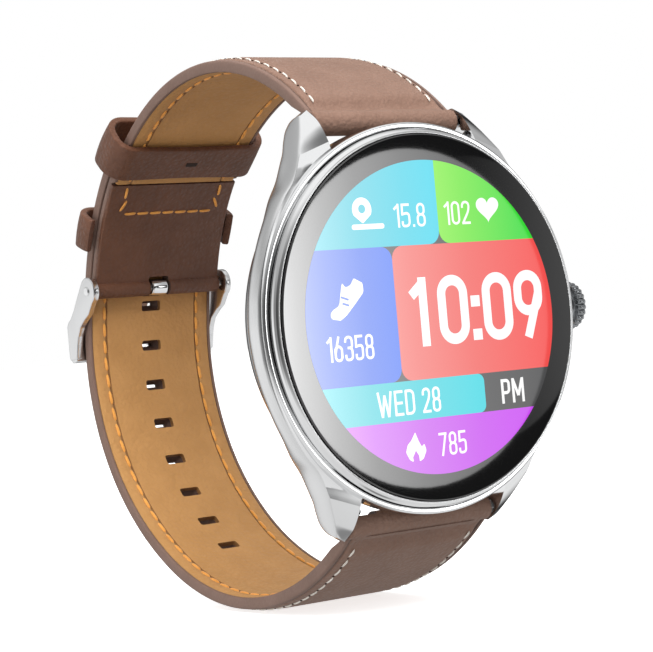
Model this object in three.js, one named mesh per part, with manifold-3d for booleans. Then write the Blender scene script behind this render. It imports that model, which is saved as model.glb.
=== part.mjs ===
// Round smartwatch on a closed leather strap, in millimetres.
// +Z points to 12 o'clock, the dial faces -Y and the crown is on the +X side.
// The origin is the middle of the wrist space inside the strap's loop.
// Inside the watch group, y is the depth behind the front of the cover glass.
import * as THREE from 'three';
import { mergeVertices } from 'three/addons/utils/BufferGeometryUtils.js';
import Module from 'manifold-3d';

// ---- driving dimensions ----
const WRIST_DEPTH = 35.5;
const ROUND = 60;
const SMALL_ROUND = 20;

const GLASS_RADIUS = 21.15;
const GLASS_CHAMFER = 0.2;
const GLASS_THICKNESS = 1.1;
const DISPLAY_RADIUS = 18.7;
const BEZEL_INNER = 21.35;
const BEZEL_OUTER = 22.0;
const CASE_FRONT = 1.7;
const CASE_BACK = 8.6;
const BARREL_RADIUS = 22.75;
const BARREL_BACK_RADIUS = 21.3;
const BARREL_TAPERED_RADIUS = 20.6;
const BARREL_STEP = 4.4;
const CAVITY_RADIUS = 20.2;
const RAIL_RADIUS = 23.3;
const LUG_INNER_X = 10.8;
const LUG_TIP_Z = 24.9;
const BACK_FACE = 9.7;
const WINDOW_RADIUS = 11;
const WINDOW_FACE = 10.9;
const SCREW_CIRCLE = 18.5;
const SCREW_ANGLES = [45, 135, 225, 315];

const CROWN_DEPTH = 4.6;
const CROWN_RADIUS = 2.93;
const CROWN_INNER_X = 23.75;
const CROWN_OUTER_X = 25.5;
const CROWN_TEETH = 24;
const CROWN_BOSS_RADIUS = 2.2;
const CROWN_BOSS_X = 22.9;
const STEM_RADIUS = 0.75;

const BAR_DEPTH = 6.5;
const BAR_Z = 23.3;
const BAR_TUBE_RADIUS = 0.75;
const BAR_PIN_RADIUS = 0.4;
const LUG_ROLL_RADIUS = 1.45;
const RELEASE_X = 8.4;

const LOOP_CENTRE = [28.6, 0.4];
const BUCKLE_STRAP_RADIUS = 32;
const LONG_STRAP_RADIUS = 33.8;
const LINING_THICKNESS = 0.6;
const LEATHER_INNER = 0.7;
const STRAP_THICKNESS = 1.5;
const LUG_HALF_WIDTH = 10.45;
const BUCKLE_HALF_WIDTH = 9.75;
const TAPER_LENGTH = 45;
const HOLE_PITCH = 5.49;
const HOLE_COUNT = 9;
const HOLE_WIDTH = 2.95;
const HOLE_LENGTH = 1.4;
const TONGUE_HOLE_LENGTH = 2.2;

const BUCKLE_BAR_ANGLE = 13;
const BUCKLE_BAR_LOOP_RADIUS = 32.4;
const BUCKLE_BAR_RADIUS = 0.5;
const BUCKLE_ROLL_RADIUS = 1.1;
const FRAME_INNER_X = 10.15;
const FRAME_OUTER_X = 11.05;
const TONGUE_WIDTH = 2.4;
const TURN_BACK_ANGLE = 40.3;
const FIXED_KEEPER_ANGLE = 26.5;
const FREE_KEEPER_ANGLE = 48.2;
const STRAP_TIP_ANGLE = 47;
const KEEPER_HALF_WIDTH = 11.6;
const KEEPER_WALL = 0.9;

const DEG = Math.PI / 180;
const BUCKLE_BAR = [
  LOOP_CENTRE[0] + BUCKLE_BAR_LOOP_RADIUS * Math.cos(BUCKLE_BAR_ANGLE * DEG),
  LOOP_CENTRE[1] + BUCKLE_BAR_LOOP_RADIUS * Math.sin(BUCKLE_BAR_ANGLE * DEG),
];

// ---- materials ----
const FINISHES = {
  steel: { color: 0xc9cbcc, roughness: 0.12, metalness: 1 },
  satin: { color: 0xb4b6b8, roughness: 0.35, metalness: 1 },
  darkSteel: { color: 0x55585a, roughness: 0.25, metalness: 1 },
  glass: { color: 0x0b0c0e, roughness: 0.03, metalness: 0 },
  display: { color: 0x2a9fd0, roughness: 0.3, metalness: 0 },
  plastic: { color: 0x1d1e20, roughness: 0.55, metalness: 0 },
  rubber: { color: 0x141414, roughness: 0.85, metalness: 0 },
  board: { color: 0x14503a, roughness: 0.5, metalness: 0 },
  foil: { color: 0x8d9196, roughness: 0.4, metalness: 0.6 },
  copper: { color: 0xc98b3c, roughness: 0.35, metalness: 0.9 },
  gold: { color: 0xd9b35a, roughness: 0.25, metalness: 1 },
  leather: { color: 0x9c7f73, roughness: 0.6, metalness: 0 },
  lining: { color: 0xc08a50, roughness: 0.7, metalness: 0 },
  keeper: { color: 0x5a3c33, roughness: 0.6, metalness: 0 },
};

// ---- solids ----
const wasm = await Module();
wasm.setup();

function signedVolume(position, index) {
  const a = new THREE.Vector3();
  const b = new THREE.Vector3();
  const c = new THREE.Vector3();
  let volume = 0;
  for (let i = 0; i < index.length; i += 3) {
    a.fromBufferAttribute(position, index[i]);
    b.fromBufferAttribute(position, index[i + 1]);
    c.fromBufferAttribute(position, index[i + 2]);
    volume += a.dot(b.cross(c)) / 6;
  }
  return volume;
}

// Shared vertices are merged, collapsed triangles dropped and the faces turned outwards.
function closed(geometry) {
  const bare = geometry.clone();
  bare.deleteAttribute('normal');
  bare.deleteAttribute('uv');
  const merged = mergeVertices(bare, 1e-4);
  const index = [];
  const source = merged.index.array;
  for (let i = 0; i < source.length; i += 3) {
    const [a, b, c] = [source[i], source[i + 1], source[i + 2]];
    if (a !== b && b !== c && c !== a) index.push(a, b, c);
  }
  if (signedVolume(merged.attributes.position, index) < 0) index.reverse();
  merged.setIndex(index);
  return merged;
}

function toSolid(geometry) {
  const shell = closed(geometry);
  const vertProperties = new Float32Array(shell.attributes.position.array);
  const triVerts = new Uint32Array(shell.index.array);
  return new wasm.Manifold(new wasm.Mesh({ numProp: 3, vertProperties, triVerts }));
}

function toGeometry(solid) {
  const mesh = solid.getMesh();
  const geometry = new THREE.BufferGeometry();
  geometry.setAttribute('position', new THREE.BufferAttribute(mesh.vertProperties, 3));
  geometry.setIndex(new THREE.BufferAttribute(mesh.triVerts, 1));
  return geometry;
}

function join(...geometries) {
  return toGeometry(geometries.map(toSolid).reduce((sum, next) => sum.add(next)));
}

function cut(geometry, ...tools) {
  return toGeometry(tools.map(toSolid).reduce((rest, tool) => rest.subtract(tool), toSolid(geometry)));
}

function common(first, second) {
  return toGeometry(toSolid(first).intersect(toSolid(second)));
}

// ---- shapes ----
function shapeOf(points) {
  return new THREE.Shape(points.map(([a, b]) => new THREE.Vector2(a, b)));
}

// A section of [radius, depth] points turned about the watch's own axis.
function turned(section, segments = ROUND) {
  return closed(new THREE.LatheGeometry(section.map(([r, y]) => new THREE.Vector2(r, y)), segments));
}

// A section of [radius, x] points turned about the X axis.
function turnedX(section, segments = SMALL_ROUND) {
  const lathe = new THREE.LatheGeometry(section.map(([r, x]) => new THREE.Vector2(r, x)), segments);
  return closed(lathe.rotateZ(-Math.PI / 2));
}

function disc(radius, from, to, segments = ROUND) {
  return turned([[0, from], [radius, from], [radius, to], [0, to]], segments);
}

function ring(inner, outer, from, to, segments = ROUND) {
  return turned([[inner, from], [outer, from], [outer, to], [inner, to], [inner, from]], segments);
}

function rodX(radius, from, to, segments = SMALL_ROUND) {
  return turnedX([[0, from], [radius, from], [radius, to], [0, to]], segments);
}

function pipeX(inner, outer, from, to, segments = SMALL_ROUND) {
  return turnedX([[inner, from], [outer, from], [outer, to], [inner, to], [inner, from]], segments);
}

function box(width, depth, height, x, y, z) {
  return new THREE.BoxGeometry(width, depth, height).translate(x, y, z);
}

// An outline in (y, z) drawn out along X.
function extrudeX(shape, from, to, curveSegments = 8) {
  const flat = new THREE.ExtrudeGeometry(shape, { depth: to - from, bevelEnabled: false, curveSegments });
  const basis = new THREE.Matrix4().makeBasis(
    new THREE.Vector3(0, 1, 0), new THREE.Vector3(0, 0, 1), new THREE.Vector3(1, 0, 0));
  return closed(flat.applyMatrix4(basis).translate(from, 0, 0));
}

// An outline in (x, z) drawn out along the depth.
function extrudeY(shape, from, to, curveSegments = 8) {
  const flat = new THREE.ExtrudeGeometry(shape, { depth: to - from, bevelEnabled: false, curveSegments });
  const basis = new THREE.Matrix4().makeBasis(
    new THREE.Vector3(1, 0, 0), new THREE.Vector3(0, 0, 1), new THREE.Vector3(0, -1, 0));
  return closed(flat.applyMatrix4(basis).translate(0, to, 0));
}

function roundedRectangle(halfWidth, halfHeight, radius) {
  const shape = new THREE.Shape();
  shape.absarc(halfWidth - radius, halfHeight - radius, radius, 0, Math.PI / 2);
  shape.absarc(radius - halfWidth, halfHeight - radius, radius, Math.PI / 2, Math.PI);
  shape.absarc(radius - halfWidth, radius - halfHeight, radius, Math.PI, 1.5 * Math.PI);
  shape.absarc(halfWidth - radius, radius - halfHeight, radius, 1.5 * Math.PI, 2 * Math.PI);
  return shape;
}

const watch = new THREE.Group();
watch.position.y = -WRIST_DEPTH;

function add(name, finish, geometry, parent = watch) {
  const mesh = new THREE.Mesh(geometry, new THREE.MeshStandardMaterial(FINISHES[finish]));
  mesh.name = name;
  parent.add(mesh);
}

// ---- watch head ----
// Half of the outline that both lugs of one side share with the rail between them.
function railOutline(side) {
  const shoulder = Math.asin(16.4 / RAIL_RADIUS);
  const shape = new THREE.Shape();
  shape.moveTo(LUG_INNER_X, -LUG_TIP_Z);
  shape.lineTo(12.3, -24.3);
  shape.lineTo(13.3, -22.3);
  shape.lineTo(14.9, -19.5);
  shape.absarc(0, 0, RAIL_RADIUS, -shoulder, shoulder, false);
  shape.lineTo(14.9, 19.5);
  shape.lineTo(13.3, 22.3);
  shape.lineTo(12.3, 24.3);
  shape.lineTo(LUG_INNER_X, LUG_TIP_Z);
  return extrudeY(shape, 0, 9).scale(side, 1, 1);
}

// The rail seen from the side: shallow at 9 o'clock, sinking towards both lug tips.
function railProfile() {
  const front = [[1.6, 0], [1.7, 9], [2.2, 16], [2.9, 19.6], [4.1, 22.4], [6, 24.4]];
  const back = [[6.6, LUG_TIP_Z], [7.3, 24.4], [7.9, 23.2], [7.7, 22], [6.7, 20.4], [5.6, 16.5], [5.2, 10], [5, 0]];
  const upper = front.concat(back);
  const lower = upper.slice(1, -1).map(([y, z]) => [y, -z]).reverse();
  return extrudeX(shapeOf(upper.concat(lower)), -26, 26);
}

function caseBarrel() {
  return turned([
    [CAVITY_RADIUS, CASE_FRONT], [22.1, CASE_FRONT], [22.2, 1.4], [22.55, 1.4], [BARREL_RADIUS, 1.7],
    [BARREL_RADIUS, BARREL_STEP], [BARREL_BACK_RADIUS, BARREL_STEP + 0.4], [BARREL_BACK_RADIUS, 5.6],
    [BARREL_TAPERED_RADIUS, CASE_BACK], [CAVITY_RADIUS, CASE_BACK], [CAVITY_RADIUS, CASE_FRONT],
  ]);
}

function lugHole(side, end) {
  const hole = rodX(BAR_PIN_RADIUS + 0.1, LUG_INNER_X - 0.5, LUG_INNER_X + 1.3, 12);
  return hole.translate(0, BAR_DEPTH, end * BAR_Z).scale(side, 1, 1);
}

function caseBody() {
  const sides = [1, -1].map((side) => common(railOutline(side), railProfile()));
  const crownBoss = rodX(CROWN_BOSS_RADIUS, BARREL_TAPERED_RADIUS, CROWN_BOSS_X).translate(0, CROWN_DEPTH, 0);
  const shell = join(caseBarrel(), crownBoss, ...sides);
  const bores = [disc(CAVITY_RADIUS, 0, 10), rodX(1.5, 18, 26).translate(0, CROWN_DEPTH, 0)];
  for (const side of [1, -1]) bores.push(lugHole(side, 1), lugHole(side, -1));
  return cut(shell, ...bores);
}

function addCase() {
  add('case_body', 'steel', caseBody());
  add('bezel_ring', 'steel', turned([
    [BEZEL_INNER, 0.5], [21.43, 0.27], [21.6, 0.33], [21.8, 0.6], [BEZEL_OUTER, 1], [BEZEL_OUTER, 1.45],
    [BEZEL_INNER, 1.45], [BEZEL_INNER, 0.5],
  ]));
  add('cover_glass', 'glass', turned([
    [0, 0], [GLASS_RADIUS - GLASS_CHAMFER, 0], [GLASS_RADIUS, GLASS_CHAMFER], [GLASS_RADIUS, GLASS_THICKNESS],
    [0, GLASS_THICKNESS],
  ]));
  add('glass_gasket', 'rubber', ring(19.3, 20.9, 1.25, 1.5, 48));
  add('display_panel', 'display', disc(DISPLAY_RADIUS, 1.3, 2.5, 48));
  const strip = [[2.65, -8], [2.65, -17.6], [5.25, -17.6], [5.25, -15.2], [5.1, -15.2], [5.1, -17.45],
    [2.8, -17.45], [2.8, -8]];
  add('display_flex', 'copper', extrudeX(shapeOf(strip), -3.5, 3.5));
}

function addInside() {
  const battery = [-4.5, 3.5];
  const window = box(21, 3, 21, battery[0], 3.5, battery[1]);
  const plate = disc(CAVITY_RADIUS - 0.3, 3.1, 3.9, 48);
  const flexGap = box(8, 3, 3, 0, 3.5, -17.9);
  const crownGap = box(6, 4, 4.4, 18.9, 4, 0);
  const bosses = SCREW_ANGLES.map((angle) => screwPlace(disc(1.15, 3.5, 7.9, 16), angle));
  const bossBores = SCREW_ANGLES.map((angle) => screwPlace(disc(0.55, 6.9, 8.5, 16), angle));
  add('inner_frame', 'plastic', cut(join(plate, ...bosses), window, flexGap, crownGap, ...bossBores));
  const board = disc(CAVITY_RADIUS - 0.6, 4.2, 4.9, 48);
  const boardCuts = [box(22, 3, 24, battery[0] - 1, 4.5, battery[1] + 2), box(8, 3, 4, 0, 4.5, -18.4), crownGap];
  for (const angle of SCREW_ANGLES) boardCuts.push(screwPlace(disc(1.5, 4, 5, 16), angle));
  add('main_board', 'board', cut(board, ...boardCuts));
  add('battery', 'foil', extrudeY(roundedRectangle(9, 9, 3), 4.2, 8).translate(battery[0], 0, battery[1]));
  add('processor_shield', 'satin', box(8, 1.4, 6, 5.6, 5.9, -12));
  add('memory_chip', 'plastic', box(3.2, 0.9, 4, -2, 5.65, -12.5));
  add('vibration_motor', 'satin', disc(3.2, 5.2, 7.6, SMALL_ROUND).translate(12, 0, 7.6));
  add('speaker', 'plastic', box(7, 2.4, 4, -8, 6.5, -12.8));
  add('microphone', 'gold', box(2.7, 0.9, 1.8, 11.5, 5.65, -10.8));
}

function addBack() {
  const hole = disc(WINDOW_RADIUS + 0.25, 8, 11, 48);
  const plate = turned([[0, 8.9], [20.2, 8.9], [20.15, 9.15], [19.6, BACK_FACE], [0, BACK_FACE]]);
  const screwHoles = SCREW_ANGLES.map((angle) => screwPlace(disc(1, 8, 11, 16), angle));
  const padHoles = [-1, 1].map((side) => disc(1.25, 8, 11, 16).translate(side * 14.6, 0, 0));
  add('back_cover', 'plastic', cut(plate, hole, ...screwHoles, ...padHoles));
  add('back_gasket', 'rubber', ring(19.4, 20.05, 8.15, 8.65, 48));
  add('sensor_window', 'glass', turned([
    [0, 8.9], [WINDOW_RADIUS, 8.9], [WINDOW_RADIUS, BACK_FACE], [9.6, 10.5], [7, WINDOW_FACE],
    [0, WINDOW_FACE],
  ], 48));
  add('sensor_board', 'board', disc(9.5, 8.25, 8.65, 32));
  for (const [index, side] of [-1, 1].entries()) {
    add(`charge_contact_${index + 1}`, 'gold', disc(0.95, 8.3, BACK_FACE, 16).translate(side * 14.6, 0, 0));
  }
  for (const [index, angle] of SCREW_ANGLES.entries()) {
    const head = turned([[0, 7.1], [0.45, 7.1], [0.45, 9.05], [0.8, 9.05], [0.8, 9.6], [0, 9.6]], 16);
    const slot = box(1.2, 0.5, 0.25, 0, 9.6, 0);
    add(`back_screw_${index + 1}`, 'satin', screwPlace(cut(head, slot), angle));
  }
}

function screwPlace(geometry, angle) {
  return geometry.translate(SCREW_CIRCLE, 0, 0).rotateY(THREE.MathUtils.degToRad(angle));
}

// ---- crown ----
function crownOutline() {
  const steps = CROWN_TEETH * 4;
  const shape = [];
  for (let i = 0; i < steps; i += 1) {
    const angle = (2 * Math.PI * i) / steps;
    const radius = CROWN_RADIUS - 0.13 * (1 - Math.cos(CROWN_TEETH * angle));
    shape.push([radius * Math.cos(angle), radius * Math.sin(angle)]);
  }
  return shapeOf(shape);
}

function addCrown() {
  const crown = new THREE.Group();
  crown.position.y = CROWN_DEPTH;
  watch.add(crown);
  const rim = extrudeX(crownOutline(), CROWN_INNER_X + 0.65, CROWN_OUTER_X);
  const hub = turnedX([[0, CROWN_INNER_X], [2, CROWN_INNER_X], [2.45, CROWN_INNER_X + 0.8],
    [0, CROWN_INNER_X + 0.8]], 48);
  add('crown_knob', 'darkSteel', join(rim, hub), crown);
  add('crown_stem', 'steel', rodX(STEM_RADIUS, 18.9, CROWN_INNER_X - 0.02), crown);
  add('crown_tube', 'steel', cut(pipeX(STEM_RADIUS + 0.1, 1.3, 20.7, 23.2), pipeX(0.8, 1.15, 21.6, 22.2)), crown);
  add('crown_seal', 'rubber', pipeX(STEM_RADIUS + 0.06, 1.1, 21.7, 22.1), crown);
  add('crown_encoder_ring', 'darkSteel', pipeX(STEM_RADIUS + 0.06, 1.7, 19.1, 19.7), crown);
  add('crown_clip', 'steel', pipeX(STEM_RADIUS + 0.02, 1.15, 20.15, 20.4), crown);
  add('crown_switch', 'plastic', box(2, 2.4, 3.2, 17.3, 0, 0), crown);
}

// ---- strap route: a chain of arcs, each [radius, end angle], seen from the +X side ----
function route(startAngle, arcs) {
  const stretches = [];
  let centre = LOOP_CENTRE;
  let angle = startAngle;
  let length = 0;
  let previous = arcs[0][0];
  for (const [radius, end] of arcs) {
    const shift = previous - radius;
    const [c, s] = [Math.cos(angle * DEG), Math.sin(angle * DEG)];
    centre = [centre[0] + shift * c, centre[1] + shift * s];
    const span = Math.abs(end - angle) * DEG * radius;
    stretches.push({ centre, radius, from: angle, to: end, start: length, span });
    [angle, length, previous] = [end, length + span, radius];
  }
  return { stretches, length };
}

// The point, outward direction and angle at a distance along the route's inner surface.
function along(path, distance) {
  const last = path.stretches[path.stretches.length - 1];
  const arc = path.stretches.find((item) => distance <= item.start + item.span) ?? last;
  const share = (distance - arc.start) / arc.span;
  const angle = (arc.from + (arc.to - arc.from) * share) * DEG;
  const normal = [Math.cos(angle), Math.sin(angle)];
  const point = [arc.centre[0] + arc.radius * normal[0], arc.centre[1] + arc.radius * normal[1]];
  return { point, normal, angle };
}

function halfWidthAt(distanceFromLug) {
  const share = Math.min(1, Math.max(0, distanceFromLug / TAPER_LENGTH));
  return LUG_HALF_WIDTH + (BUCKLE_HALF_WIDTH - LUG_HALF_WIDTH) * share;
}

// A flat band swept along the route between two distances, from offset inner to outer.
function band(path, from, to, inner, outer, widthAt, steps) {
  const positions = [];
  const index = [];
  for (let i = 0; i <= steps; i += 1) {
    const distance = from + ((to - from) * i) / steps;
    const { point, normal } = along(path, distance);
    const half = widthAt(distance);
    for (const [x, offset] of [[-half, inner], [half, inner], [half, outer], [-half, outer]]) {
      positions.push(x, point[0] + normal[0] * offset, point[1] + normal[1] * offset);
    }
  }
  for (let i = 0; i < steps; i += 1) {
    for (let k = 0; k < 4; k += 1) {
      const [a, b] = [4 * i + k, 4 * i + ((k + 1) % 4)];
      index.push(a, b, b + 4, a, b + 4, a + 4);
    }
  }
  const end = 4 * steps;
  index.push(0, 2, 1, 0, 3, 2, end, end + 1, end + 2, end, end + 2, end + 3);
  const geometry = new THREE.BufferGeometry();
  geometry.setAttribute('position', new THREE.Float32BufferAttribute(positions, 3));
  geometry.setIndex(index);
  return closed(geometry);
}

// Turns a shape built around the origin, with +Y outwards, and puts it on the route.
function place(geometry, path, distance, offset) {
  const { point, normal, angle } = along(path, distance);
  const [y, z] = [point[0] + normal[0] * offset, point[1] + normal[1] * offset];
  return geometry.rotateX(angle).translate(0, y, z);
}

const BUCKLE_ROUTE = route(BUCKLE_BAR_ANGLE, [[BUCKLE_STRAP_RADIUS, 70], [30.6, 135.6]]);
const LONG_ROUTE = route(STRAP_TIP_ANGLE, [[LONG_STRAP_RADIUS, 12], [89.6, 8.8], [28.7, -40.1], [33.9, -133.2]]);
const arcLength = (degrees, radius) => degrees * DEG * radius;
const barOnRoute = BUCKLE_BAR_LOOP_RADIUS - BUCKLE_STRAP_RADIUS;

function addBuckleStrap() {
  const path = BUCKLE_ROUTE;
  const widthAt = (distance) => halfWidthAt(path.length - distance);
  const roll = rodX(LUG_ROLL_RADIUS, -LUG_HALF_WIDTH, LUG_HALF_WIDTH).translate(0, BAR_DEPTH, BAR_Z);
  const fold = place(rodX(BUCKLE_ROLL_RADIUS, -BUCKLE_HALF_WIDTH, BUCKLE_HALF_WIDTH), path, 0, barOnRoute);
  const turnBackEnd = arcLength(TURN_BACK_ANGLE - BUCKLE_BAR_ANGLE, BUCKLE_STRAP_RADIUS);
  const outer = band(path, 0.9, path.length, LEATHER_INNER, STRAP_THICKNESS, widthAt, 36);
  const turnBack = band(path, 0.9, turnBackEnd, 0, LINING_THICKNESS, widthAt, 9);
  const barBore = place(rodX(BUCKLE_BAR_RADIUS + 0.1, -12, 12), path, 0, barOnRoute);
  const slot = place(box(3.2, 6, 3.1, 0, 0, 0), path, 0, barOnRoute);
  const body = join(outer, turnBack, roll, fold);
  const lugBore = rodX(BAR_TUBE_RADIUS + 0.15, -12, 12).translate(0, BAR_DEPTH, BAR_Z);
  const leverSlot = box(2.8, 3, 3, RELEASE_X - 0.65, BAR_DEPTH + 0.8, BAR_Z - 1.6);
  add('buckle_strap_leather', 'leather', cut(body, barBore, slot, lugBore, leverSlot));
  const lining = band(path, turnBackEnd + 0.4, path.length - 4, 0, LINING_THICKNESS, widthAt, 24);
  add('buckle_strap_lining', 'lining', lining);
}

function addLongStrap() {
  const path = LONG_ROUTE;
  const widthAt = (distance) => halfWidthAt(path.length - distance);
  const roll = rodX(LUG_ROLL_RADIUS, -LUG_HALF_WIDTH, LUG_HALF_WIDTH).translate(0, BAR_DEPTH, -BAR_Z);
  const lugBore = rodX(BAR_TUBE_RADIUS + 0.15, -12, 12).translate(0, BAR_DEPTH, -BAR_Z);
  const leverSlot = box(2.8, 3, 3, 0.65 - RELEASE_X, BAR_DEPTH + 0.8, 1.6 - BAR_Z);
  const body = join(band(path, 0, path.length, LEATHER_INNER, STRAP_THICKNESS, widthAt, 56), roll);
  const lining = band(path, 0, path.length - 4, 0, LINING_THICKNESS, widthAt, 54);
  add('long_strap_leather', 'leather', cut(body, lugBore, leverSlot, ...strapHoles(path)));
  add('long_strap_lining', 'lining', cut(lining, ...strapHoles(path)));
}

function strapHoles(path) {
  const tongueHole = arcLength(STRAP_TIP_ANGLE - 8.2, LONG_STRAP_RADIUS);
  const holes = [];
  for (let i = -1; i < HOLE_COUNT - 1; i += 1) {
    const length = i === 0 ? TONGUE_HOLE_LENGTH : HOLE_LENGTH;
    holes.push(place(box(HOLE_WIDTH, 4, length, 0, 0, 0), path, tongueHole + i * HOLE_PITCH, 0.75));
  }
  return holes;
}

// ---- spring bars with quick-release levers ----
function springCoil(from, to) {
  const turns = 5;
  class Helix extends THREE.Curve {
    getPoint(t) {
      const angle = 2 * Math.PI * turns * t;
      return new THREE.Vector3(from + (to - from) * t, 0.28 * Math.cos(angle), 0.28 * Math.sin(angle));
    }
  }
  const wire = shapeOf([[-0.08, -0.08], [0.08, -0.08], [0.08, 0.08], [-0.08, 0.08]]);
  return closed(new THREE.ExtrudeGeometry(wire, { steps: turns * 6, extrudePath: new Helix() }));
}

function addSpringBar(name, end) {
  const bar = new THREE.Group();
  bar.position.set(0, BAR_DEPTH, end * BAR_Z);
  bar.rotation.y = end > 0 ? 0 : Math.PI;
  watch.add(bar);
  const tube = join(rodX(BAR_TUBE_RADIUS, -10.3, 10.3), rodX(BAR_PIN_RADIUS, -11.7, -10));
  const bore = rodX(0.5, 2.4, 11);
  const knobSlot = box(2.9, 1.4, 2, RELEASE_X - 0.6, 0.45, -0.75);
  add(`${name}_spring_bar`, 'satin', cut(tube, bore, knobSlot), bar);
  add(`${name}_bar_spring`, 'satin', springCoil(2.7, 5.9), bar);
  const stalk = box(0.6, 0.6, 1.5, RELEASE_X, 0.3, -0.75);
  const knob = new THREE.SphereGeometry(0.55, 12, 8).translate(RELEASE_X, 0.5, -1.6);
  add(`${name}_release_lever`, 'darkSteel', join(rodX(BAR_PIN_RADIUS, 7.4, 11.7), stalk, knob), bar);
}

// ---- buckle ----
function buckleSidePlate() {
  const [y, z] = BUCKLE_BAR;
  const plate = new THREE.Shape();
  plate.absarc(y, z, 1.9, 35 * DEG, 240 * DEG, false);
  plate.bezierCurveTo(y + 0.6, z - 3, y + 3.1, z - 4, y + 3.7, z - 6.3);
  plate.lineTo(y + 4.2, z - 8.8);
  plate.lineTo(y + 6.1, z - 9);
  plate.lineTo(y + 6.2, z - 4.2);
  plate.lineTo(y + 5.2, z - 3.6);
  plate.bezierCurveTo(y + 4.4, z - 2.6, y + 3.2, z - 0.8, y + 1.9 * Math.cos(35 * DEG), z + 1.9 * Math.sin(35 * DEG));
  return plate;
}

function addBuckle() {
  const [y, z] = BUCKLE_BAR;
  const plate = buckleSidePlate();
  const left = extrudeX(plate, -FRAME_OUTER_X, -FRAME_INNER_X);
  const right = extrudeX(plate, FRAME_INNER_X, FRAME_OUTER_X);
  const bar = extrudeX(shapeOf([[4.4, -9.3], [5.7, -9.3], [6.3, -8.4], [6.3, -4.3], [5.6, -4.1], [4.4, -5]]
    .map(([a, b]) => [y + a, z + b])), -FRAME_INNER_X - 0.3, FRAME_INNER_X + 0.3);
  const rest = box(TONGUE_WIDTH + 0.6, 2.4, 9, 0, y + 6.3, z - 7.3);
  const bore = rodX(BUCKLE_BAR_RADIUS + 0.08, -12, 12).translate(0, y, z);
  add('buckle_frame', 'satin', cut(join(left, right, bar), bore, rest));
  add('buckle_bar', 'satin', rodX(BUCKLE_BAR_RADIUS, -FRAME_OUTER_X + 0.1, FRAME_OUTER_X - 0.1).translate(0, y, z));
  add('buckle_tongue', 'steel', buckleTongue());
}

function buckleTongue() {
  const [y, z] = BUCKLE_BAR;
  const half = TONGUE_WIDTH / 2;
  const curl = pipeX(BUCKLE_BAR_RADIUS + 0.08, 1.1, -half, half).translate(0, y, z);
  const blade = [[-0.3, -0.75], [0.35, -2], [1.5, -3], [4.1, -2.75], [5.1, -3.4], [5.35, -4.4], [5.35, -8.4],
    [6, -8.6], [6.15, -4.2], [5.6, -2.6], [4.3, -1.95], [1.9, -2.2], [1.2, -1.7], [0.75, -0.7]];
  const stem = extrudeX(shapeOf(blade.map(([a, b]) => [y + a, z + b])), -half, half);
  return join(curl, stem);
}

// ---- keepers ----
// A loop around the strap: a rounded rectangular ring in (x, outward), swept about the loop's centre.
function keeperLoop(radius, halfHeight, corner, length) {
  const outline = roundedRectangle(KEEPER_HALF_WIDTH, halfHeight + KEEPER_WALL, corner + KEEPER_WALL);
  outline.holes.push(roundedRectangle(KEEPER_HALF_WIDTH - KEEPER_WALL, halfHeight, corner));
  const options = { depth: length, steps: 2, bevelEnabled: false, curveSegments: 4 };
  const loop = closed(new THREE.ExtrudeGeometry(outline, options).translate(0, 0, -length / 2));
  const position = loop.attributes.position;
  for (let i = 0; i < position.count; i += 1) {
    const angle = position.getZ(i) / radius;
    const reach = radius + position.getY(i);
    position.setXYZ(i, position.getX(i), reach * Math.cos(angle), reach * Math.sin(angle));
  }
  return loop;
}

function aboutLoop(geometry, degrees) {
  return geometry.rotateX(degrees * DEG).translate(0, LOOP_CENTRE[0], LOOP_CENTRE[1]);
}

function addKeepers() {
  add('free_keeper', 'keeper', aboutLoop(keeperLoop(34, 2.3, 1.8, 5.6), FREE_KEEPER_ANGLE));
  const loop = keeperLoop(34.15, 2.05, 1.6, 4.5);
  const opening = box(24, 2, 6, 0, 31.9, 0);
  add('fixed_keeper', 'keeper', aboutLoop(cut(loop, opening), FIXED_KEEPER_ANGLE));
}

addCase();
addInside();
addBack();
addCrown();
addBuckleStrap();
addLongStrap();
addSpringBar('upper', 1);
addSpringBar('lower', -1);
addBuckle();
addKeepers();

export default watch;
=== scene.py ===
"""A round smartwatch on a buckled leather strap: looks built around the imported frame.

Shapes are worked out in watch millimetres (x to the crown, d = depth behind the glass front,
z to 12 o'clock) and turned into the frame's metres when each mesh is made. A shape is a triple:
points, faces and one material number per face.
"""
import cmath
import math

import bmesh
import bpy
import numpy as np
from mathutils import Matrix, Vector


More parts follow.
